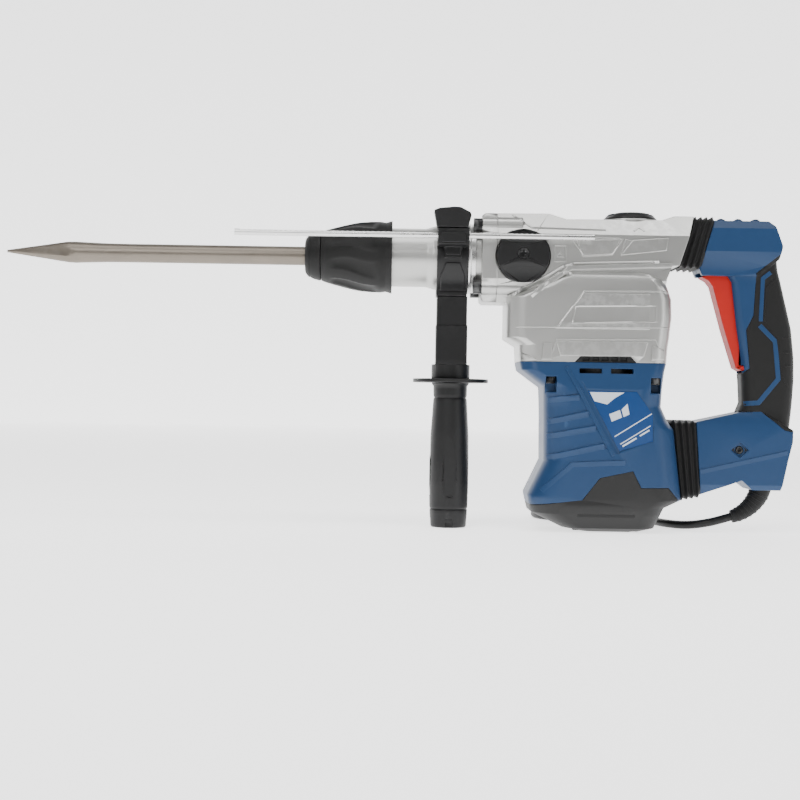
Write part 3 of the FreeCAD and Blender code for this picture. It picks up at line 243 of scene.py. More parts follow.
def finish_material(name, colour, roughness, spread=0.08, metallic=0.0, grain=1800.0, relief=0.02,
                    clouds=22.0, vary=0.12, wear=0.3, worn=None, corner_colour=None, coat=0.0, streaks=None,
                    sheen=0.0, shine=0.5):
    """A procedural finish: grain and cloudiness over a base colour, worn edges and duller corners.

    relief is the grain's depth in millimetres, streaks the scales of its lines along and across."""
    material = bpy.data.materials.new(name)
    material.use_nodes = True
    tree = material.node_tree
    shader = tree.nodes["Principled BSDF"]
    shader.inputs["Metallic"].default_value = metallic
    shader.inputs["Coat Weight"].default_value = coat
    shader.inputs["Coat Roughness"].default_value = COAT_ROUGHNESS
    shader.inputs["Sheen Weight"].default_value = sheen
    shader.inputs["Specular IOR Level"].default_value = shine
    surface = group_node(tree, "Surface Grain", Scale=grain, Cloud_Scale=clouds)
    edges = group_node(tree, "Edge Wear", Amount=wear)
    # darker in corners: the corner colour where a finish gives one, else the base colour times
    # CORNER_SHADE
    in_corners = shade(corner_colour or colour, 1.0 if corner_colour else CORNER_SHADE)
    on_edges = shade(worn or colour, 1.0 if worn else EDGE_SHADE)
    base = mixed(tree, surface.outputs["Cloud"], shade(colour, 1 - vary), shade(colour, 1 + vary))
    base = mixed(tree, edges.outputs["Corner"], base, in_corners)
    base = mixed(tree, edges.outputs["Edge"], base, on_edges)
    tree.links.new(base, shader.inputs["Base Color"])
    rough = tree.nodes.new("ShaderNodeMapRange")
    rough.inputs["To Min"].default_value = roughness - spread
    rough.inputs["To Max"].default_value = roughness + spread
    tree.links.new(surface.outputs["Cloud"], rough.inputs["Value"])
    tree.links.new(rough.outputs["Result"], shader.inputs["Roughness"])
    height = surface.outputs["Height"]
    if streaks:
        lines = group_node(tree, "Streaks", Along=streaks[0], Across=streaks[1])
        height = math_node(tree, "ADD", height, lines.outputs["Streak"])
    bump = tree.nodes.new("ShaderNodeBump")
    bump.inputs["Strength"].default_value = BUMP_STRENGTH
    bump.inputs["Distance"].default_value = relief * MM
    tree.links.new(height, bump.inputs["Height"])
    tree.links.new(bump.outputs["Normal"], shader.inputs["Normal"])
    return material


def finishes():
    """Every finish of the hammer, by name; made once."""
    if "alloy" in bpy.data.materials:
        return bpy.data.materials
    make_grain_group()
    make_wear_group()
    make_streak_group()
    c = colours()
    # the alloy's corner colour makes its corners darker
    finish_material("alloy", c.alloy, 0.36, 0.04, metallic=0.85, grain=1500, relief=0.045, clouds=16,
                    vary=0.05, wear=0.35, worn=(0.86, 0.86, 0.85), corner_colour=(0.42, 0.42, 0.41))
    finish_material("blue", c.blue, 0.40, 0.05, grain=2600, relief=0.03, vary=0.07, wear=0.22,
                    worn=(0.06, 0.13, 0.27), shine=0.3)
    finish_material("plastic", c.plastic, 0.44, 0.04, grain=2200, relief=0.04, wear=0.3,
                    worn=(0.05, 0.05, 0.05), shine=0.35)
    finish_material("cover", c.cover, 0.50, 0.07, grain=2200, relief=0.04, wear=0.06,
                    worn=(0.04, 0.04, 0.04), shine=0.35)
    finish_material("rubber", c.rubber, 0.60, 0.08, grain=1300, relief=0.06, vary=0.15, wear=0.2,
                    worn=(0.03, 0.03, 0.029), sheen=0.05, shine=0.3)
    finish_material("cord", c.rubber, 0.45, 0.06, grain=900, vary=0.2, wear=0.1, shine=0.35)
    finish_material("red", c.red, 0.46, 0.06, grain=2400, relief=0.025, vary=0.06, wear=0.2,
                    worn=(0.6, 0.08, 0.05), shine=0.25)
    finish_material("chisel", c.chisel, 0.42, 0.10, metallic=0.85, grain=700, relief=0.03, clouds=35,
                    vary=0.22, wear=0.8, worn=(0.55, 0.54, 0.52), streaks=(30.0, 500.0))
    finish_material("steel", c.steel, 0.28, 0.08, metallic=1.0, grain=900, relief=0.01, clouds=60,
                    vary=0.1, streaks=(20.0, 700.0))
    finish_material("black_steel", (0.012, 0.012, 0.0125), 0.38, 0.08, metallic=0.6, grain=1200,
                    vary=0.2, wear=0.5, worn=(0.3, 0.3, 0.3))
    finish_material("inner_steel", (0.5, 0.5, 0.5), 0.35, 0.06, metallic=1.0, vary=0.1)
    finish_material("copper", (0.55, 0.22, 0.08), 0.35, 0.06, metallic=0.9, grain=500, relief=0.1,
                    vary=0.15)
    film = {"grain": 300, "relief": 0.004, "wear": 0.05, "coat": 0.8}
    finish_material("label_blue", c.label_blue, 0.22, 0.05, vary=0.05, **film)
    finish_material("label_white", c.label_white, 0.25, 0.05, vary=0.03, **film)
    return bpy.data.materials


# ---- meshes ------------------------------------------------------------------------------------

EDGE_ANGLE = 32  # degrees, above which an edge counts as sharp
FLAT_ANGLE = 0.6  # degrees, below which two faces are one
CHAIN = -0.93  # two sharp edges in line, as the product of their directions
LONG_EDGE = 2.2  # rounding widths that an edge needs at an open corner
STRIP_GRID = 2.5  # millimetres between the rows of a laid strip
ROUND_STEPS = 96  # faces round a turned ring
OUTSIDE = 80  # millimetres from the middle, clear of every side face


def new_piece(name, bm, finish, body, smooth=35):
    """Turns a bmesh into a piece with a finish, smooth but for its sharp edges, riding a body."""
    mesh = bpy.data.meshes.new(name)
    for face in bm.faces:
        face.smooth = True
    bm.to_mesh(mesh)
    bm.free()
    mesh.set_sharp_from_angle(angle=math.radians(smooth))
    piece = bpy.data.objects.new(name, mesh)
    bpy.context.scene.collection.objects.link(piece)
    mesh.materials.append(finishes()[finish])
    if body:
        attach(piece, body)
    return piece


def soften(piece, width, segments=2, angle=EDGE_ANGLE, by_weight=False):
    """Rounds a piece's sharp edges, or only the marked ones."""
    bevel = piece.modifiers.new("Rounded edges", "BEVEL")
    bevel.width = width
    bevel.segments = segments
    bevel.limit_method = "WEIGHT" if by_weight else "ANGLE"
    bevel.angle_limit = math.radians(angle)
    bevel.use_clamp_overlap = False
    bevel.miter_outer = "MITER_ARC"
    level = piece.modifiers.new("Flat faces", "WEIGHTED_NORMAL")
    level.keep_sharp = True
    level.weight = 100


def merged_copy(node):
    """A node's mesh with its loose triangles joined and its flat faces whole."""
    bm = bmesh.new()
    bm.from_mesh(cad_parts[node].data)
    bmesh.ops.remove_doubles(bm, verts=bm.verts, dist=MERGE)
    bmesh.ops.dissolve_limit(bm, angle_limit=math.radians(FLAT_ANGLE), verts=bm.verts,
                             edges=bm.edges, use_dissolve_boundaries=False)
    return bm


def runs_on(vert, sharp, width):
    """Whether a sharp edge can be rounded past this corner: a smooth chain, or long edges only."""
    edges = [edge for edge in vert.link_edges if edge in sharp]
    if len(edges) == 2:
        out = [(edge.other_vert(vert).co - vert.co).normalized() for edge in edges]
        if out[0].dot(out[1]) < CHAIN:
            return True
    return all(edge.calc_length() > LONG_EDGE * width for edge in edges)


def refined(node, finish, body, width, segments=2):
    """A node's own shape with its longer edges softened, standing for the node."""
    bm = merged_copy(node)
    many_sided = [face for face in bm.faces if len(face.verts) > 4]
    bmesh.ops.triangulate(bm, faces=many_sided, ngon_method="BEAUTY")
    weight = bm.edges.layers.float.new("bevel_weight_edge")
    limit = math.radians(EDGE_ANGLE)
    sharp = {edge for edge in bm.edges if edge.is_manifold and edge.calc_face_angle(0) > limit}
    open_corners = {vert for edge in sharp for vert in edge.verts if runs_on(vert, sharp, width)}
    for edge in sharp:
        if open_corners.issuperset(edge.verts):
            edge[weight] = 1.0
    piece = new_piece(node + "_finished", bm, finish, body)
    soften(piece, width, segments, by_weight=True)
    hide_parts(node)
    return piece


def dress(node, finish):
    """Gives a node that is shown as it is its finish."""
    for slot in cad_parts[node].material_slots:
        slot.material = finishes()[finish]


def spun_loop(outline, steps, axis="X", closed=True):
    """An outline of (along, radius) in millimetres, spun about the spindle's axis or the motor's.

    A closed outline is a ring's section; an open one makes a tube without a wall."""
    bm = bmesh.new()
    middle = Vector((0, 0, SPINDLE if axis == "X" else 0))
    verts = []
    for along, radius in outline:
        place = Vector((along, 0, radius)) if axis == "X" else Vector((radius, 0, along))
        verts.append(bm.verts.new(middle + place * MM))
    following = verts[1:] + verts[:1] if closed else verts[1:]
    edges = [bm.edges.new(pair) for pair in zip(verts, following)]
    turn = (1, 0, 0) if axis == "X" else (0, 0, 1)
    bmesh.ops.spin(bm, geom=verts + edges, cent=middle, axis=turn, angle=math.tau, steps=steps,
                   use_merge=True, dvec=Vector())
    bmesh.ops.recalc_face_normals(bm, faces=bm.faces)
    return bm


def extruded(outline, low, high):
    """An outline of (x, z) extruded between two levels of y, in millimetres."""
    bm = bmesh.new()
    face = bm.faces.new([bm.verts.new(Vector((x, low, z)) * MM) for x, z in outline])
    grown = bmesh.ops.extrude_face_region(bm, geom=[face])
    moved = [item for item in grown["geom"] if isinstance(item, bmesh.types.BMVert)]
    bmesh.ops.translate(bm, verts=moved, vec=(0, (high - low) * MM, 0))
    bmesh.ops.recalc_face_normals(bm, faces=bm.faces)
    return bm


def join_in(bm, other):
    """Adds another bmesh's geometry to this one."""
    mesh = bpy.data.meshes.new("joined")
    other.to_mesh(mesh)
    other.free()
    bm.from_mesh(mesh)
    bpy.data.meshes.remove(mesh)


def surface_tree(piece):
    """A search tree over a piece's finished surface."""
    graph = bpy.context.evaluated_depsgraph_get()
    return BVHTree.FromObject(piece, graph)


def ribbon(points, width, closed=False):
    """Corner pairs of a band of one width along a line in side view."""
    spots = [Vector(point) for point in points]
    if closed:
        spots = [spots[-1]] + spots + [spots[0]]
    pairs = []
    for index in range(1 if closed else 0, len(spots) - 1 if closed else len(spots)):
        here = spots[index]
        runs = []
        if index > 0:
            runs.append((here - spots[index - 1]).normalized())
        if index < len(spots) - 1:
            runs.append((spots[index + 1] - here).normalized())
        along = (runs[0] + runs[-1]).normalized()
        across = Vector((-along.y, along.x)) * width / 2 / max(0.5, along.dot(runs[0]))
        pairs.append((tuple(here + across), tuple(here - across)))
    return pairs + pairs[:1] if closed else pairs


def rows_along(pairs):
    """Corner pairs with more of them filled in, so that no two rows are far apart."""
    rows = []
    for before, after in zip(pairs, pairs[1:]):
        span = max((Vector(after[end]) - Vector(before[end])).length for end in (0, 1))
        count = max(1, int(span / STRIP_GRID))
        for step in range(count + (after is pairs[-1])):
            share = step / count
            rows.append([Vector(before[end]).lerp(Vector(after[end]), share) for end in (0, 1)])
    return rows


def laid_on(name, strips, target, side, lift, finish, body, thick=0.6, low_lift=None, soft=0.18):
    """Flat strips in side view, each a list of corner pairs, dropped on a surface from one side.

    lift is how far the first corner of each pair stands off the surface, low_lift the second."""
    tree = surface_tree(target)
    low_lift = lift if low_lift is None else low_lift
    bm = bmesh.new()
    rise = bm.verts.layers.float.new("rise")
    for pairs in strips:
        rows = rows_along(pairs)
        wide = max(2, int(max((high - low).length for high, low in rows) / STRIP_GRID) + 1)
        made = bmesh.ops.create_grid(bm, x_segments=len(rows) - 1, y_segments=wide - 1, size=0.5)
        for vert in made["verts"]:
            row = round((vert.co.x + 0.5) * (len(rows) - 1))
            share = round((vert.co.y + 0.5) * (wide - 1)) / (wide - 1)
            spot = rows[row][0].lerp(rows[row][1], share)
            vert.co = Vector((spot.x, side * OUTSIDE, spot.y)) * MM
            vert[rise] = lift + (low_lift - lift) * share
    missed = []
    for vert in bm.verts:
        hit = tree.ray_cast(vert.co, Vector((0, -side, 0)))[0]
        if hit is None:
            missed.append(vert)
        else:
            vert.co.y = hit.y + side * vert[rise] * MM
    bmesh.ops.delete(bm, geom=missed, context="VERTS")
    bmesh.ops.remove_doubles(bm, verts=bm.verts, dist=1e-5)
    bmesh.ops.recalc_face_normals(bm, faces=bm.faces)
    for face in bm.faces:
        if face.normal.y * side < 0:
            face.normal_flip()
    piece = new_piece(name, bm, finish, body, 50)
    wall = piece.modifiers.new("Thickness", "SOLIDIFY")
    wall.thickness = thick * MM
    wall.offset = -1
    soften(piece, soft * MM, 2, 50)


# ---- camera, floor and light -------------------------------------------------------------------

CAMERA_PLACE = (-0.192, -1.40, 0.122)
CAMERA_ROLL = 0.95
STAGE_SIDE = 20
FLOOR_FRONT, FLOOR_BACK, BACKDROP_TOP = -1.2, 5, 6
FLOOR_GLOW, WORLD_GLOW = 1.7, 0.18
LIGHTS = [  # name, power, size, place, aim
    ("key", 12, (0.9, 0.6), (-0.7, -1.5, 1.1), (-0.1, 0, 0.18)),
    ("top", 12, (1.8, 0.5), (-0.1, -0.35, 1.3), (-0.1, 0, 0.2)),
    ("side", 3.5, (0.4, 0.9), (1.1, -1.0, 0.4), (0.0, 0, 0.18)),
]


def make_camera():
    data = bpy.data.cameras.new("Camera")
    data.lens = 65
    data.sensor_width = 36
    data.clip_start = 0.05
    camera = bpy.data.objects.new("Camera", data)
    bpy.context.scene.collection.objects.link(camera)
    level = Matrix.Rotation(math.radians(90), 4, "X")
    roll = Matrix.Rotation(math.radians(CAMERA_ROLL), 4, "Z")
    camera.matrix_world = Matrix.Translation(CAMERA_PLACE) @ level @ roll
    bpy.context.scene.camera = camera


def stage_piece(name, corners, material):
    bm = bmesh.new()
    bm.faces.new([bm.verts.new(corner) for corner in corners])
    mesh = bpy.data.meshes.new(name)
    bm.to_mesh(mesh)
    bm.free()
    mesh.materials.append(material)
    piece = bpy.data.objects.new(name, mesh)
    bpy.context.scene.collection.objects.link(piece)


def make_light(name, power, size, place, aim):
    data = bpy.data.lights.new(name, "AREA")
    data.energy = power
    data.shape = "RECTANGLE"
    data.size, data.size_y = size
    light = bpy.data.objects.new(name, data)
    bpy.context.scene.collection.objects.link(light)
    turn = (Vector(aim) - Vector(place)).to_track_quat("-Z", "Y").to_matrix().to_4x4()
    light.matrix_world = Matrix.Translation(place) @ turn


def make_stage():
    """The camera, a pale floor and backdrop that glow a little, and three soft lights."""
    make_camera()
    floor = bpy.data.materials.new("floor")
    floor.use_nodes = True
    shader = floor.node_tree.nodes["Principled BSDF"]
    shader.inputs["Base Color"].default_value = (0.93, 0.93, 0.93, 1)
    shader.inputs["Roughness"].default_value = 0.85
    shader.inputs["Emission Color"].default_value = (1, 1, 1, 1)
    shader.inputs["Emission Strength"].default_value = FLOOR_GLOW
    left, right = -STAGE_SIDE, STAGE_SIDE
    front, back, top = FLOOR_FRONT, FLOOR_BACK, BACKDROP_TOP
    ground = [(left, front, 0), (right, front, 0), (right, back, 0), (left, back, 0)]
    wall = [(left, back, 0), (right, back, 0), (right, back, top), (left, back, top)]
    stage_piece("floor", ground, floor)
    stage_piece("backdrop", wall, floor)
    world = bpy.data.worlds.new("studio")
    world.use_nodes = True
    background = world.node_tree.nodes["Background"]
    background.inputs["Color"].default_value = (1, 1, 1, 1)
    background.inputs["Strength"].default_value = WORLD_GLOW
    bpy.context.scene.world = world
    for light in LIGHTS:
        make_light(*light)


# ---- cord and plug -----------------------------------------------------------------------------

CORD_EXIT = (130.6, 0, 14.358)
CORD_ROUTE = [
    (118, 0, 10.4), (106, 1.6, 7.4), (94, 6, 5.2), (84, 13.2, 4.4), (76, 23.5, 4.4), (70.6, 35, 4.4),
    (67.2, 49, 4.4), (65.4, 64, 4.4), (64.8, 80, 4.4), (65.1, 97, 4.4), (65.3, 111, 4.4),
]
COIL_CENTRE = (6, 124)
COIL_INSIDE, COIL_OUTSIDE = 35, 59
COIL_LAYERS = [  # first radius, last radius, height of its middle, rise at its end
    (COIL_OUTSIDE, COIL_INSIDE, 4.4, 8), (COIL_INSIDE, COIL_OUTSIDE, 12.4, 8),
    (COIL_OUTSIDE, COIL_INSIDE, 20.4, 4.8),
]
LAYER_TURNS = 3
RISE_FROM = 0.86  # share of a layer after which the lead rises to the next
LAST_TURN = 0.70  # share of a turn that climbs to the plug
LAST_LOW = 25.2
PLUG_Z = 42.5
PLUG_ENTRY = [(-15, 77.6, PLUG_Z), (-4, 77, PLUG_Z)]


def coil_route(per_turn):
    """Three layers of three turns each, then most of a turn that climbs to the plug."""
    x, y = COIL_CENTRE
    points, turned = [], 0.0

    def add(radius, height):
        angle = math.tau * turned
        points.append((x + radius * math.cos(angle), y + radius * math.sin(angle), height))

    steps = LAYER_TURNS * per_turn
    for first, last, height, rise in COIL_LAYERS:
        for step in range(steps):
            share = step / steps
            climb = max(0.0, (share - RISE_FROM) / (1 - RISE_FROM))
            add(first + (last - first) * share, height + rise * ease(climb))
            turned += 1 / per_turn
    steps = int(LAST_TURN * per_turn)
    for step in range(steps):
        share = step / steps
        add(COIL_INSIDE + (sizes().coil_radius / MM - COIL_INSIDE) * share,
            LAST_LOW + (PLUG_Z - LAST_LOW) * ease(share))
        turned += 1 / per_turn
    return points


def make_cord():
    """The mains lead as one curve, from the boot to its plug."""
    points = [CORD_EXIT] + CORD_ROUTE + coil_route(sizes().coil_points) + PLUG_ENTRY
    data = bpy.data.curves.new("mains_lead", "CURVE")
    data.dimensions = "3D"
    spline = data.splines.new("NURBS")
    spline.points.add(len(points) - 1)
    for point, place in zip(spline.points, points):
        point.co = (*(Vector(place) * MM), 1)
    spline.order_u = 3
    spline.use_endpoint_u = True
    spline.resolution_u = 4
    data.bevel_depth = sizes().cord / 2
    data.bevel_resolution = 5
    data.use_fill_caps = True
    lead = bpy.data.objects.new("mains_lead", data)
    bpy.context.scene.collection.objects.link(lead)
    data.materials.append(finishes()["cord"])
    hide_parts("cord_lead", "cord_coil")
    plug = refined("mains_plug", "rubber", None, 0.6 * MM)
    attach(lead, "rear_handle")
    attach(plug, "rear_handle")


# ---- gear case ---------------------------------------------------------------------------------

CASE_BEADS = [  # line, width, closed
    ([(-31.3, 275.3), (-21.3, 261.6), (6.2, 263), (15.7, 277)], 1.4, True),
    ([(26.5, 285.6), (31, 289.6), (36.6, 285.8)], 1.8, False),
    ([(-48.5, 270), (-37.8, 270), (-37.8, 255), (-48.5, 255)], 1.2, True),
    ([(-45.5, 259.5), (-43, 264), (-40.5, 259.5)], 1.2, True),
    ([(-45.9, 192.6), (-20.8, 227), (55.2, 228)], 1.6, False),
    ([(-28.6, 212.4), (47.3, 214.2), (47.6, 199.4), (-31.6, 197)], 1.5, True),
    ([(-85, 192.4), (62, 193.8)], 0.9, False),
    ([(-52, 163), (-46, 181.4), (47.5, 182.8), (54, 166)], 1.6, False),
]
CASE_PAD = [(13.2, 261.4), (25, 276.5), (59, 279), (57, 266.6)]
PAD_INNER, PAD_OUTER = 37, 39.5
CASE_RIDGES = [  # line, width
    ([(-92, 221), (-66, 234), (-40, 250), (-30, 253), (50, 256)], 3.0),
    ([(-70, 221), (-45, 244), (25, 244), (40, 243), (58, 226)], 3.0),
    ([(-88, 300), (-70, 287), (0, 285.5)], 2.0),
]
CASE_BOSSES = [
    [((-58.5, 178), (-60, 162)), ((-50, 178), (-50, 162))],
    [((44, 177), (43, 163)), ((56, 173), (57, 163))],
    [((-83, 170), (-81, 161.5)), ((-72, 166), (-62, 161.5))],
]


def make_gear_case():
    edge, fine = sizes().edge, sizes().fine_edge
    case = refined("gear_housing", "alloy", "casing", 0.45 * MM)
    refined("front_housing", "alloy", "casing", edge)
    refined("index_ring", "steel", "casing", fine, 1)
    refined("air_outlet_grilles", "plastic", "casing", fine, 1)
    refined("front_housing_screws", "black_steel", "casing", fine, 1)
    bpy.context.view_layer.update()
    for side, word in SIDES:
        beads = [ribbon(points, width, closed) for points, width, closed in CASE_BEADS]
        ridges = [ribbon(points, width) for points, width in CASE_RIDGES]
        laid_on("case_beads_" + word, beads, case, side, 0.75, "alloy", "casing", 1.4, soft=0.35)
        laid_on("case_ridges_" + word, ridges, case, side, 1.5, "alloy", "casing", 2.4, low_lift=0.1,
                soft=0.4)
        laid_on("case_bosses_" + word, CASE_BOSSES, case, side, 1.6, "alloy", "casing", 2.6, soft=0.6)
        block = extruded(CASE_PAD, side * PAD_INNER, side * PAD_OUTER)
        pad = new_piece("case_pad_" + word, block, "alloy", "casing")
        soften(pad, 0.7 * MM)


# ---- motor -------------------------------------------------------------------------------------

MOTOR_STEPS = [
    [(-53, 124), (-24, 127)], [(-53, 103.5), (-15, 111.5)], [(-53, 90), (-8, 98)],
    [(-53, 70), (0, 81.5)],
]
MOTOR_FACET = [(-58, 39), (-29.5, 64), (20, 66.5)]
MOTOR_EDGE = [(-36, 156), (9, 73)]


def make_motor():
    edge, fine = sizes().edge, sizes().fine_edge
    housing = refined("motor_housing", "blue", "casing", 0.6 * MM)
    refined("motor_end_cover", "cover", "casing", edge)
    refined("motor_housing_screws", "black_steel", "casing", fine, 1)
    refined("end_cover_screws", "black_steel", "casing", fine, 1)
    bpy.context.view_layer.update()
    for side, word in SIDES:
        steps = [ribbon(points, 5.5) for points in MOTOR_STEPS]
        laid_on("motor_steps_" + word, steps, housing, side, 1.9, "blue", "casing", 3, low_lift=0.1,
                soft=0.5)
        laid_on("motor_facet_" + word, [ribbon(MOTOR_FACET, 5)], housing, side, 1.0, "blue", "casing",
                2, low_lift=0.05, soft=0.4)
        laid_on("motor_edge_" + word, [ribbon(MOTOR_EDGE, 3.4)], housing, side, 0.2, "blue", "casing",
                2, low_lift=1.3, soft=0.4)


SHROUD = [(147, 38.6), (147, 39.6), (157, 39.6), (157, 38.6)]


def make_shroud():
    """A dark ring round the fan, behind the vents."""
    new_piece("fan_shroud", spun_loop(SHROUD, ROUND_STEPS, "Z"), "plastic", "casing")


LABEL_FIELDS = [
    [((-14.5, 132.4), (-10, 124)), ((8, 132.4), (2, 121)), ((18, 132.4), (9, 127))],
    [((4, 112), (6.5, 105)), ((14, 116), (16, 109))],
    [((15.5, 116.5), (17.5, 109.5)), ((21, 122), (23, 112))],
]
LABEL_LINES = [
    ([(9.5, 91), (44, 113)], 0.9), ([(15, 84), (45, 103)], 0.9),
    ([(17, 82), (30, 90)], 1.6), ([(33, 92), (42, 97.6)], 1.4),
]


def make_label():
    plate = refined("label_plates", "label_blue", "casing", 0.2 * MM, 1)
    bpy.context.view_layer.update()
    for side, word in SIDES:
        fields = LABEL_FIELDS + [ribbon(points, width) for points, width in LABEL_LINES]
        laid_on("label_fields_" + word, fields, plate, side, 0.1, "label_white", "casing", 0.15,
                soft=0.03)


# ---- chuck and chisel --------------------------------------------------------------------------

SLEEVE_OUTSIDE = [
    (-270.0, 23.6), (-266, 25.2), (-259, 27.2), (-249, 29.8), (-240, 31.9), (-232.5, 33.2),
    (-222, 34.0), (-213, 34.2), (-208, 33.4), (-205.4, 34.1), (-203.4, 34.9), (-202.0, 34.7),
]
SLEEVE_INSIDE = [(-201.9, 29.2), (-240, 29.2), (-240.2, 16.8), (-269.6, 16.8)]
SLEEVE_TURNS = 192
FLUTES = 8
FLUTE_START, FLUTE_LENGTH = -264, 50
FLUTE_DEPTH = 2.3
FLUTE_LEAN = 5  # degrees
CAP_OUTLINE = [
    (-285.7, 9.3), (-285.7, 15.6), (-285.2, 16.9), (-284, 18.4), (-283.2, 19.4), (-281.6, 20.4),
    (-280.9, 20.1), (-280.2, 20.9), (-277, 22.3), (-274, 23), (-271.6, 23.6), (-270.8, 23.2),
    (-270.8, 9.3),
]


def along_line(points, where):
    """The height of a line of points at a place along it."""
    for (x0, y0), (x1, y1) in zip(points, points[1:]):
        if x0 <= where <= x1:
            return y0 + (y1 - y0) * (where - x0) / (x1 - x0)
    return points[0][1] if where < points[0][0] else points[-1][1]


def sleeve_radius(x, angle):
    """Shallow flutes that lean and widen towards the rear, between raised fingers."""
    full = along_line(SLEEVE_OUTSIDE, x)
    share = (x - FLUTE_START) / FLUTE_LENGTH
    if not 0 < share < 1:
        return full
    ends = min(1.0, share / 0.22, (1 - share) / 0.16)
    depth = FLUTE_DEPTH * ease(ends)
    wander = math.radians(FLUTE_LEAN) * math.sin(share * 5.2)
    phase = ((angle + wander) * FLUTES / math.tau) % 1
    away = abs(phase - 0.5) * 2
    wide = 0.42 + 0.25 * share
    groove = max(0.0, 1 - (away / wide) ** 2)
    return full - depth * groove ** 0.7


def make_sleeve():
    stations = [(x, along_line(SLEEVE_OUTSIDE, x)) for x in range(-270, -201)]
    bm = spun_loop(stations + SLEEVE_INSIDE, SLEEVE_TURNS)
    for vert in bm.verts:
        x, across, up = vert.co.x / MM, vert.co.y, vert.co.z - SPINDLE
        reach = math.hypot(across, up) / MM
        if reach > along_line(SLEEVE_OUTSIDE, x) - 0.05 and x > -269.5:
            scale = sleeve_radius(x, math.atan2(up, across)) / reach
            vert.co.y, vert.co.z = across * scale, SPINDLE + up * scale
    sleeve = new_piece("locking_sleeve_finished", bm, "rubber", "chuck_sleeve", 50)
    soften(sleeve, 0.3 * MM, 2, 50)
    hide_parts("locking_sleeve")


def make_dust_cap():
    outline = spun_loop(CAP_OUTLINE, ROUND_STEPS)
    cap = new_piece("dust_cap_finished", outline, "rubber", "spindle", 50)
    soften(cap, 0.25 * MM, 2, 50)
    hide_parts("dust_cap")


def make_chuck():
    fine = sizes().fine_edge
    make_dust_cap()
    make_sleeve()
    refined("nose_seal", "rubber", "casing", fine)


def make_chisel():
    refined("chisel", "chisel", "chisel", 0.25 * MM, 1)


# ---- side handle, depth rod and controls -------------------------------------------------------

BAND_BLOCKS = [
    [((-155.5, 279.5), (-132.5, 279.5)), ((-155, 270), (-133, 270)),
     ((-150.5, 259.5), (-137.5, 259.5))],
    [((-150.5, 252.5), (-137.5, 252.5)), ((-155.5, 240), (-132.5, 240)),
     ((-155.5, 227), (-132.5, 227))],
]


def make_side_handle():
    edge = sizes().edge
    band = refined("handle_band", "plastic", "side_handle", edge)
    refined("handle_stem", "plastic", "side_handle", edge)
    bpy.context.view_layer.update()
    for side, word in SIDES:
        laid_on("band_blocks_" + word, BAND_BLOCKS, band, side, 1.8, "plastic", "side_handle", 3.2,
                soft=0.6)
    refined("side_grip", "plastic", "side_grip", edge)
    refined("depth_rod", "steel", "depth_rod", 0.12 * MM, 1)
    refined("depth_lock_knob", "plastic", "depth_lock_knob", edge)


def make_controls():
    edge, fine = sizes().edge, sizes().fine_edge
    refined("mode_knob", "plastic", "mode_knob", edge)
    refined("mode_knob_screw", "black_steel", "mode_knob", fine, 1)
    refined("top_selector", "plastic", "top_selector", edge)


# ---- bellows and rear handle -------------------------------------------------------------------

# Corners in side view: front top, front low, rear top, rear low.
UPPER_BELLOWS = ((85.6, 302), (69.6, 252.2), (105.6, 302), (92.2, 251.4))
LOWER_BELLOWS = ((67.2, 107.4), (76.6, 30), (90.6, 107.2), (95.9, 33.5))
BELLOW_TURNS = 72
BELLOW_FOLDS = 4
FOLD_STEPS = 10
BELLOW_TUCK = 0.03  # share of its length that each end reaches into the face it joins
BELLOW_HALF_WIDE, BELLOW_CORNER, BELLOW_WALL = 25, 7, 1.6


def rounded_corner(angle, half_wide, half_high, corner):
    """Where a ray at an angle meets a rounded rectangle, its corners taken at their own pace."""
    quarter, part = divmod((angle / math.tau * 4) % 4, 1)
    sign_across = 1 if quarter in (0, 3) else -1
    sign_up = 1 if quarter in (0, 1) else -1
    bend = math.radians(90 * (quarter + part))
    return (sign_across * (half_wide - corner) + corner * math.cos(bend),
            sign_up * (half_high - corner) + corner * math.sin(bend))


def make_bellow(name, corners, depth):
    """A rubber tube of rounded rectangles between two slanted lines, waved once for each fold."""
    front_top, front_low, rear_top, rear_low = [Vector((x, 0, z)) for x, z in corners]
    steps = BELLOW_FOLDS * FOLD_STEPS
    bm = spun_loop([(step, 10) for step in range(steps + 1)], BELLOW_TURNS, closed=False)
    for vert in bm.verts:
        step = round(vert.co.x / MM)
        angle = math.atan2(vert.co.z - SPINDLE, vert.co.y)
        inward = depth * (0.5 + 0.5 * math.cos(math.tau * BELLOW_FOLDS * step / steps)) ** 0.8
        share = -BELLOW_TUCK + (1 + 2 * BELLOW_TUCK) * step / steps
        top, low = front_top.lerp(rear_top, share), front_low.lerp(rear_low, share)
        half_high = (top - low).length / 2
        across, up = rounded_corner(angle + 1e-4, BELLOW_HALF_WIDE - inward, half_high - inward,
                                    BELLOW_CORNER)
        vert.co = ((top + low) / 2 + (top - low).normalized() * up + Vector((0, across, 0))) * MM
    bmesh.ops.recalc_face_normals(bm, faces=bm.faces)
    bmesh.ops.solidify(bm, geom=bm.faces[:], thickness=BELLOW_WALL * MM)
    bmesh.ops.recalc_face_normals(bm, faces=bm.faces)
    return new_piece(name, bm, "rubber", None, 50)


def make_bellows():
    upper = make_bellow("upper_bellows_finished", UPPER_BELLOWS, 2.4)
    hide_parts("upper_bellows")
    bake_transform(upper)
    lower = make_bellow("lower_bellows_finished", LOWER_BELLOWS, 2.6)
    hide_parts("lower_bellows")
    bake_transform(lower)
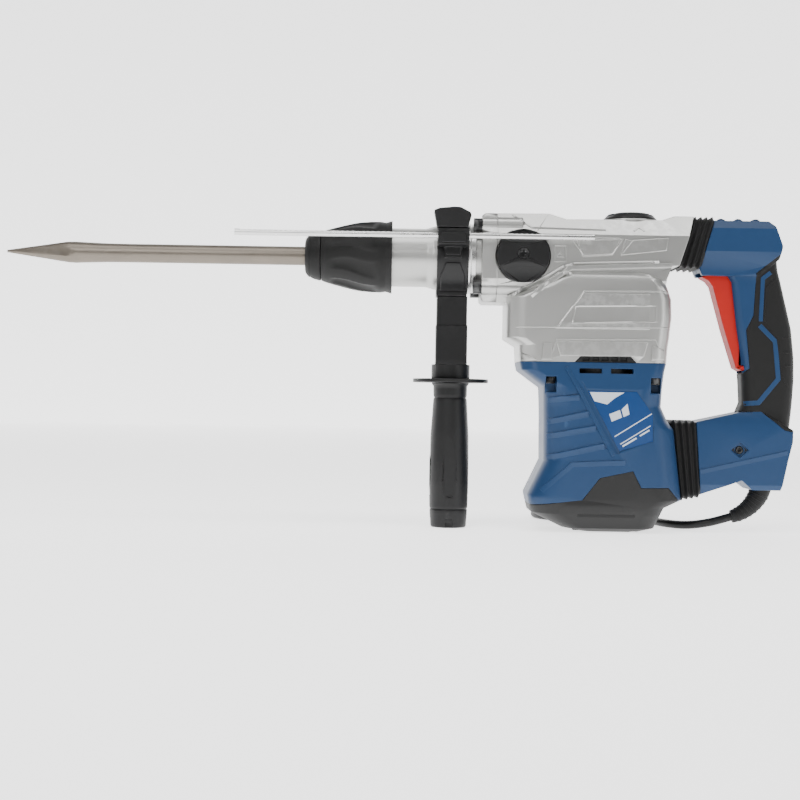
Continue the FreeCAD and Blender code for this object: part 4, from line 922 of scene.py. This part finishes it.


# A dark plate laid in the diamond recess round a handle screw: a painted shadow.
POCKET_SHADOW_PLATE = [
    [((125.2, 79.6), (125.2, 79.6)), ((132.7, 85.8), (132.7, 73.4)), ((140.2, 79.6), (140.2, 79.6))],
]
BOOT_GLAND = (158.5, 41.3)
BOOT_TURNS = (17, 75)  # degrees forward of straight down, at its start and end
BOOT_BEND = 40
BOOT_RIBS = 7
RIB_STEPS = 48
ARM_CREASE = [(95, 58), (178, 77.5)]
GRIP_ACCENTS = [
    ([(161, 250), (153.5, 244), (152, 203)], 4.0),
    ([(151, 199), (166, 184), (169.5, 148), (151, 125), (138, 124)], 4.6),
]
GRIP_SEAMS = [
    [(165, 243), (157, 235), (155, 203), (168, 187), (173, 150), (180, 140)],
    [(173, 187), (186, 189)], [(174, 173), (187, 175)], [(175, 160), (187.5, 162)],
]


def make_boot_ribs():
    """Rings along the boot's bend, each square to it."""
    whole = bmesh.new()
    start = math.radians(BOOT_TURNS[0])
    for index in range(BOOT_RIBS):
        share = (index + 1.2) / (BOOT_RIBS + 1.6)
        now = math.radians(BOOT_TURNS[0] + (BOOT_TURNS[1] - BOOT_TURNS[0]) * share)
        reach = 10.1 - 4 * share
        rib = spun_loop([(-1.1, reach - 0.6), (-0.8, reach + 0.5), (0.8, reach + 0.5),
                         (1.1, reach - 0.6)], RIB_STEPS)
        bmesh.ops.translate(rib, verts=rib.verts, vec=(0, 0, -SPINDLE))
        lean = Matrix.Rotation(now - math.pi / 2, 3, "Y")
        bmesh.ops.rotate(rib, verts=rib.verts, cent=(0, 0, 0), matrix=lean)
        ahead = BOOT_BEND * (math.cos(now) - math.cos(start))
        down = BOOT_BEND * (math.sin(start) - math.sin(now))
        place = Vector((BOOT_GLAND[0] + ahead, 0, BOOT_GLAND[1] + down))
        bmesh.ops.translate(rib, verts=rib.verts, vec=place * MM)
        join_in(whole, rib)
    new_piece("boot_ribs", whole, "rubber", "rear_handle")


def make_rear_handle():
    edge, fine = sizes().edge, sizes().fine_edge
    shells = {-1: refined("handle_shell_left", "blue", "rear_handle", edge),
              1: refined("handle_shell_right", "blue", "rear_handle", edge)}
    cushion = refined("grip_overmould", "rubber", "rear_handle", edge)
    refined("trigger", "red", "trigger", edge)
    refined("handle_screws", "black_steel", "rear_handle", fine, 1)
    refined("cord_boot", "rubber", "rear_handle", fine)
    make_boot_ribs()
    bpy.context.view_layer.update()
    for side, word in SIDES:
        accents = [ribbon(points, width) for points, width in GRIP_ACCENTS]
        seams = [ribbon(points, 1.5) for points in GRIP_SEAMS]
        laid_on("grip_accents_" + word, accents, cushion, side, 0.35, "blue", "rear_handle", 0.9,
                soft=0.25)
        if side < 0:
            # a dark plate in the screw's recess, a painted shadow
            laid_on("screw_pocket", POCKET_SHADOW_PLATE, shells[side], side, 0.05, "plastic", "rear_handle",
                    0.3, soft=0.05)
        laid_on("arm_crease_" + word, [ribbon(ARM_CREASE, 4.5)], shells[side], side, 0.9, "blue",
                "rear_handle", 1.8, low_lift=0.05, soft=0.4)
        laid_on("grip_seams_" + word, seams, cushion, side, 0.5, "rubber", "rear_handle", 0.9,
                soft=0.3)


# ---- the inside --------------------------------------------------------------------------------

INSIDE = {
    "inner_steel": (
        "motor_bearings", "gear_shaft_bearings", "spindle_bearings", "armature_shaft", "crank_shaft",
        "crank_gear", "intermediate_shaft", "intermediate_gear", "spindle", "ring_bevel_gear",
        "impact_bolt", "striker", "piston", "wrist_pin", "connecting_rod",
    ),
    "black_steel": ("stator_core", "armature_core"),
    "copper": ("stator_windings", "commutator"),
    "plastic": ("brush_holders", "cooling_fan", "switch_body"),
    "cover": ("carbon_brushes",),
    "alloy": ("bearing_flange",),
}


def spring_between(node):
    """A spring's own shape, with its loose triangles joined."""
    bm = bmesh.new()
    bm.from_mesh(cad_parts[node].data)
    bmesh.ops.remove_doubles(bm, verts=bm.verts, dist=MERGE)
    spring = new_piece(node + "_finished", bm, "inner_steel", None, 60)
    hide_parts(node)
    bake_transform(spring)


def make_springs():
    spring_between("chuck_spring")
    spring_between("damper_springs")


def dress_inside():
    for finish, names in INSIDE.items():
        for name in names:
            dress(name, finish)


# ---- operators ---------------------------------------------------------------------------------

class HAMMER_OT_stage(Operator):
    """Camera, floor and studio light"""

    bl_idname = "hammer.stage"
    bl_label = "Camera and floor"

    def execute(self, context):
        make_stage()
        return {"FINISHED"}


class HAMMER_OT_cord(Operator):
    """The put-away mains lead and its plug"""

    bl_idname = "hammer.cord"
    bl_label = "Mains lead"

    def execute(self, context):
        make_cord()
        return {"FINISHED"}


class HAMMER_OT_gear_case(Operator):
    """Cast gear case, front case, index ring and grilles"""

    bl_idname = "hammer.gear_case"
    bl_label = "Gear case"

    def execute(self, context):
        make_gear_case()
        return {"FINISHED"}


class HAMMER_OT_motor(Operator):
    """Motor housing, end cover and their screws"""

    bl_idname = "hammer.motor"
    bl_label = "Motor housing"

    def execute(self, context):
        make_motor()
        return {"FINISHED"}


class HAMMER_OT_shroud(Operator):
    """Dark ring behind the vents"""

    bl_idname = "hammer.shroud"
    bl_label = "Fan shroud"

    def execute(self, context):
        make_shroud()
        return {"FINISHED"}


class HAMMER_OT_label(Operator):
    """Glossy labels with blank fields"""

    bl_idname = "hammer.label"
    bl_label = "Label"

    def execute(self, context):
        make_label()
        return {"FINISHED"}


class HAMMER_OT_chuck(Operator):
    """Dust cap, locking sleeve and nose seal"""

    bl_idname = "hammer.chuck"
    bl_label = "Chuck"

    def execute(self, context):
        make_chuck()
        return {"FINISHED"}


class HAMMER_OT_chisel(Operator):
    """Pointed chisel"""

    bl_idname = "hammer.chisel"
    bl_label = "Chisel"

    def execute(self, context):
        make_chisel()
        return {"FINISHED"}


class HAMMER_OT_side_handle(Operator):
    """Band, stem, grip, depth rod and its lock"""

    bl_idname = "hammer.side_handle"
    bl_label = "Side handle"

    def execute(self, context):
        make_side_handle()
        return {"FINISHED"}


class HAMMER_OT_controls(Operator):
    """Mode knob and top selector"""

    bl_idname = "hammer.controls"
    bl_label = "Controls"

    def execute(self, context):
        make_controls()
        return {"FINISHED"}


class HAMMER_OT_rear_handle(Operator):
    """Shells, cushion, trigger and cord boot"""

    bl_idname = "hammer.rear_handle"
    bl_label = "Rear handle"

    def execute(self, context):
        make_rear_handle()
        return {"FINISHED"}


class HAMMER_OT_bellows(Operator):
    """Upper and lower rubber bellows"""

    bl_idname = "hammer.bellows"
    bl_label = "Bellows"

    def execute(self, context):
        make_bellows()
        return {"FINISHED"}


class HAMMER_OT_springs(Operator):
    """Chuck and damper springs"""

    bl_idname = "hammer.springs"
    bl_label = "Springs"

    def execute(self, context):
        make_springs()
        return {"FINISHED"}


class HAMMER_OT_inside(Operator):
    """Finishes of the parts within the housings"""

    bl_idname = "hammer.inside"
    bl_label = "Inside"

    def execute(self, context):
        dress_inside()
        return {"FINISHED"}


OPERATORS = (
    HAMMER_OT_stage,
    HAMMER_OT_cord,
    HAMMER_OT_gear_case,
    HAMMER_OT_motor,
    HAMMER_OT_shroud,
    HAMMER_OT_label,
    HAMMER_OT_chuck,
    HAMMER_OT_chisel,
    HAMMER_OT_side_handle,
    HAMMER_OT_controls,
    HAMMER_OT_rear_handle,
    HAMMER_OT_bellows,
    HAMMER_OT_springs,
    HAMMER_OT_inside,
)


class HAMMER_PT_sidebar(Panel):
    """Lists the hammer's pieces and settings."""

    bl_label = "Rotary Hammer"
    bl_space_type = "VIEW_3D"
    bl_region_type = "UI"
    bl_category = "Hammer"

    def draw(self, context):
        layout = self.layout
        for operator in OPERATORS:
            layout.operator(operator.bl_idname)
        for group in (context.scene.hammer_colours, context.scene.hammer_sizes):
            for name in group.__annotations__:
                layout.prop(group, name)


CLASSES = (HammerColours, HammerSizes, *OPERATORS, HAMMER_PT_sidebar)


def register():
    for kind in CLASSES:
        bpy.utils.register_class(kind)
    bpy.types.Scene.hammer_colours = PointerProperty(type=HammerColours)
    bpy.types.Scene.hammer_sizes = PointerProperty(type=HammerSizes)


def unregister():
    del bpy.types.Scene.hammer_colours
    del bpy.types.Scene.hammer_sizes
    for kind in reversed(CLASSES):
        bpy.utils.unregister_class(kind)


def main():
    register()
    for operator in OPERATORS:
        name = operator.bl_idname.split(".")[1]
        if getattr(bpy.ops.hammer, name)() != {"FINISHED"}:
            raise RuntimeError(name + " did not finish")


if __name__ == "__main__":
    main()
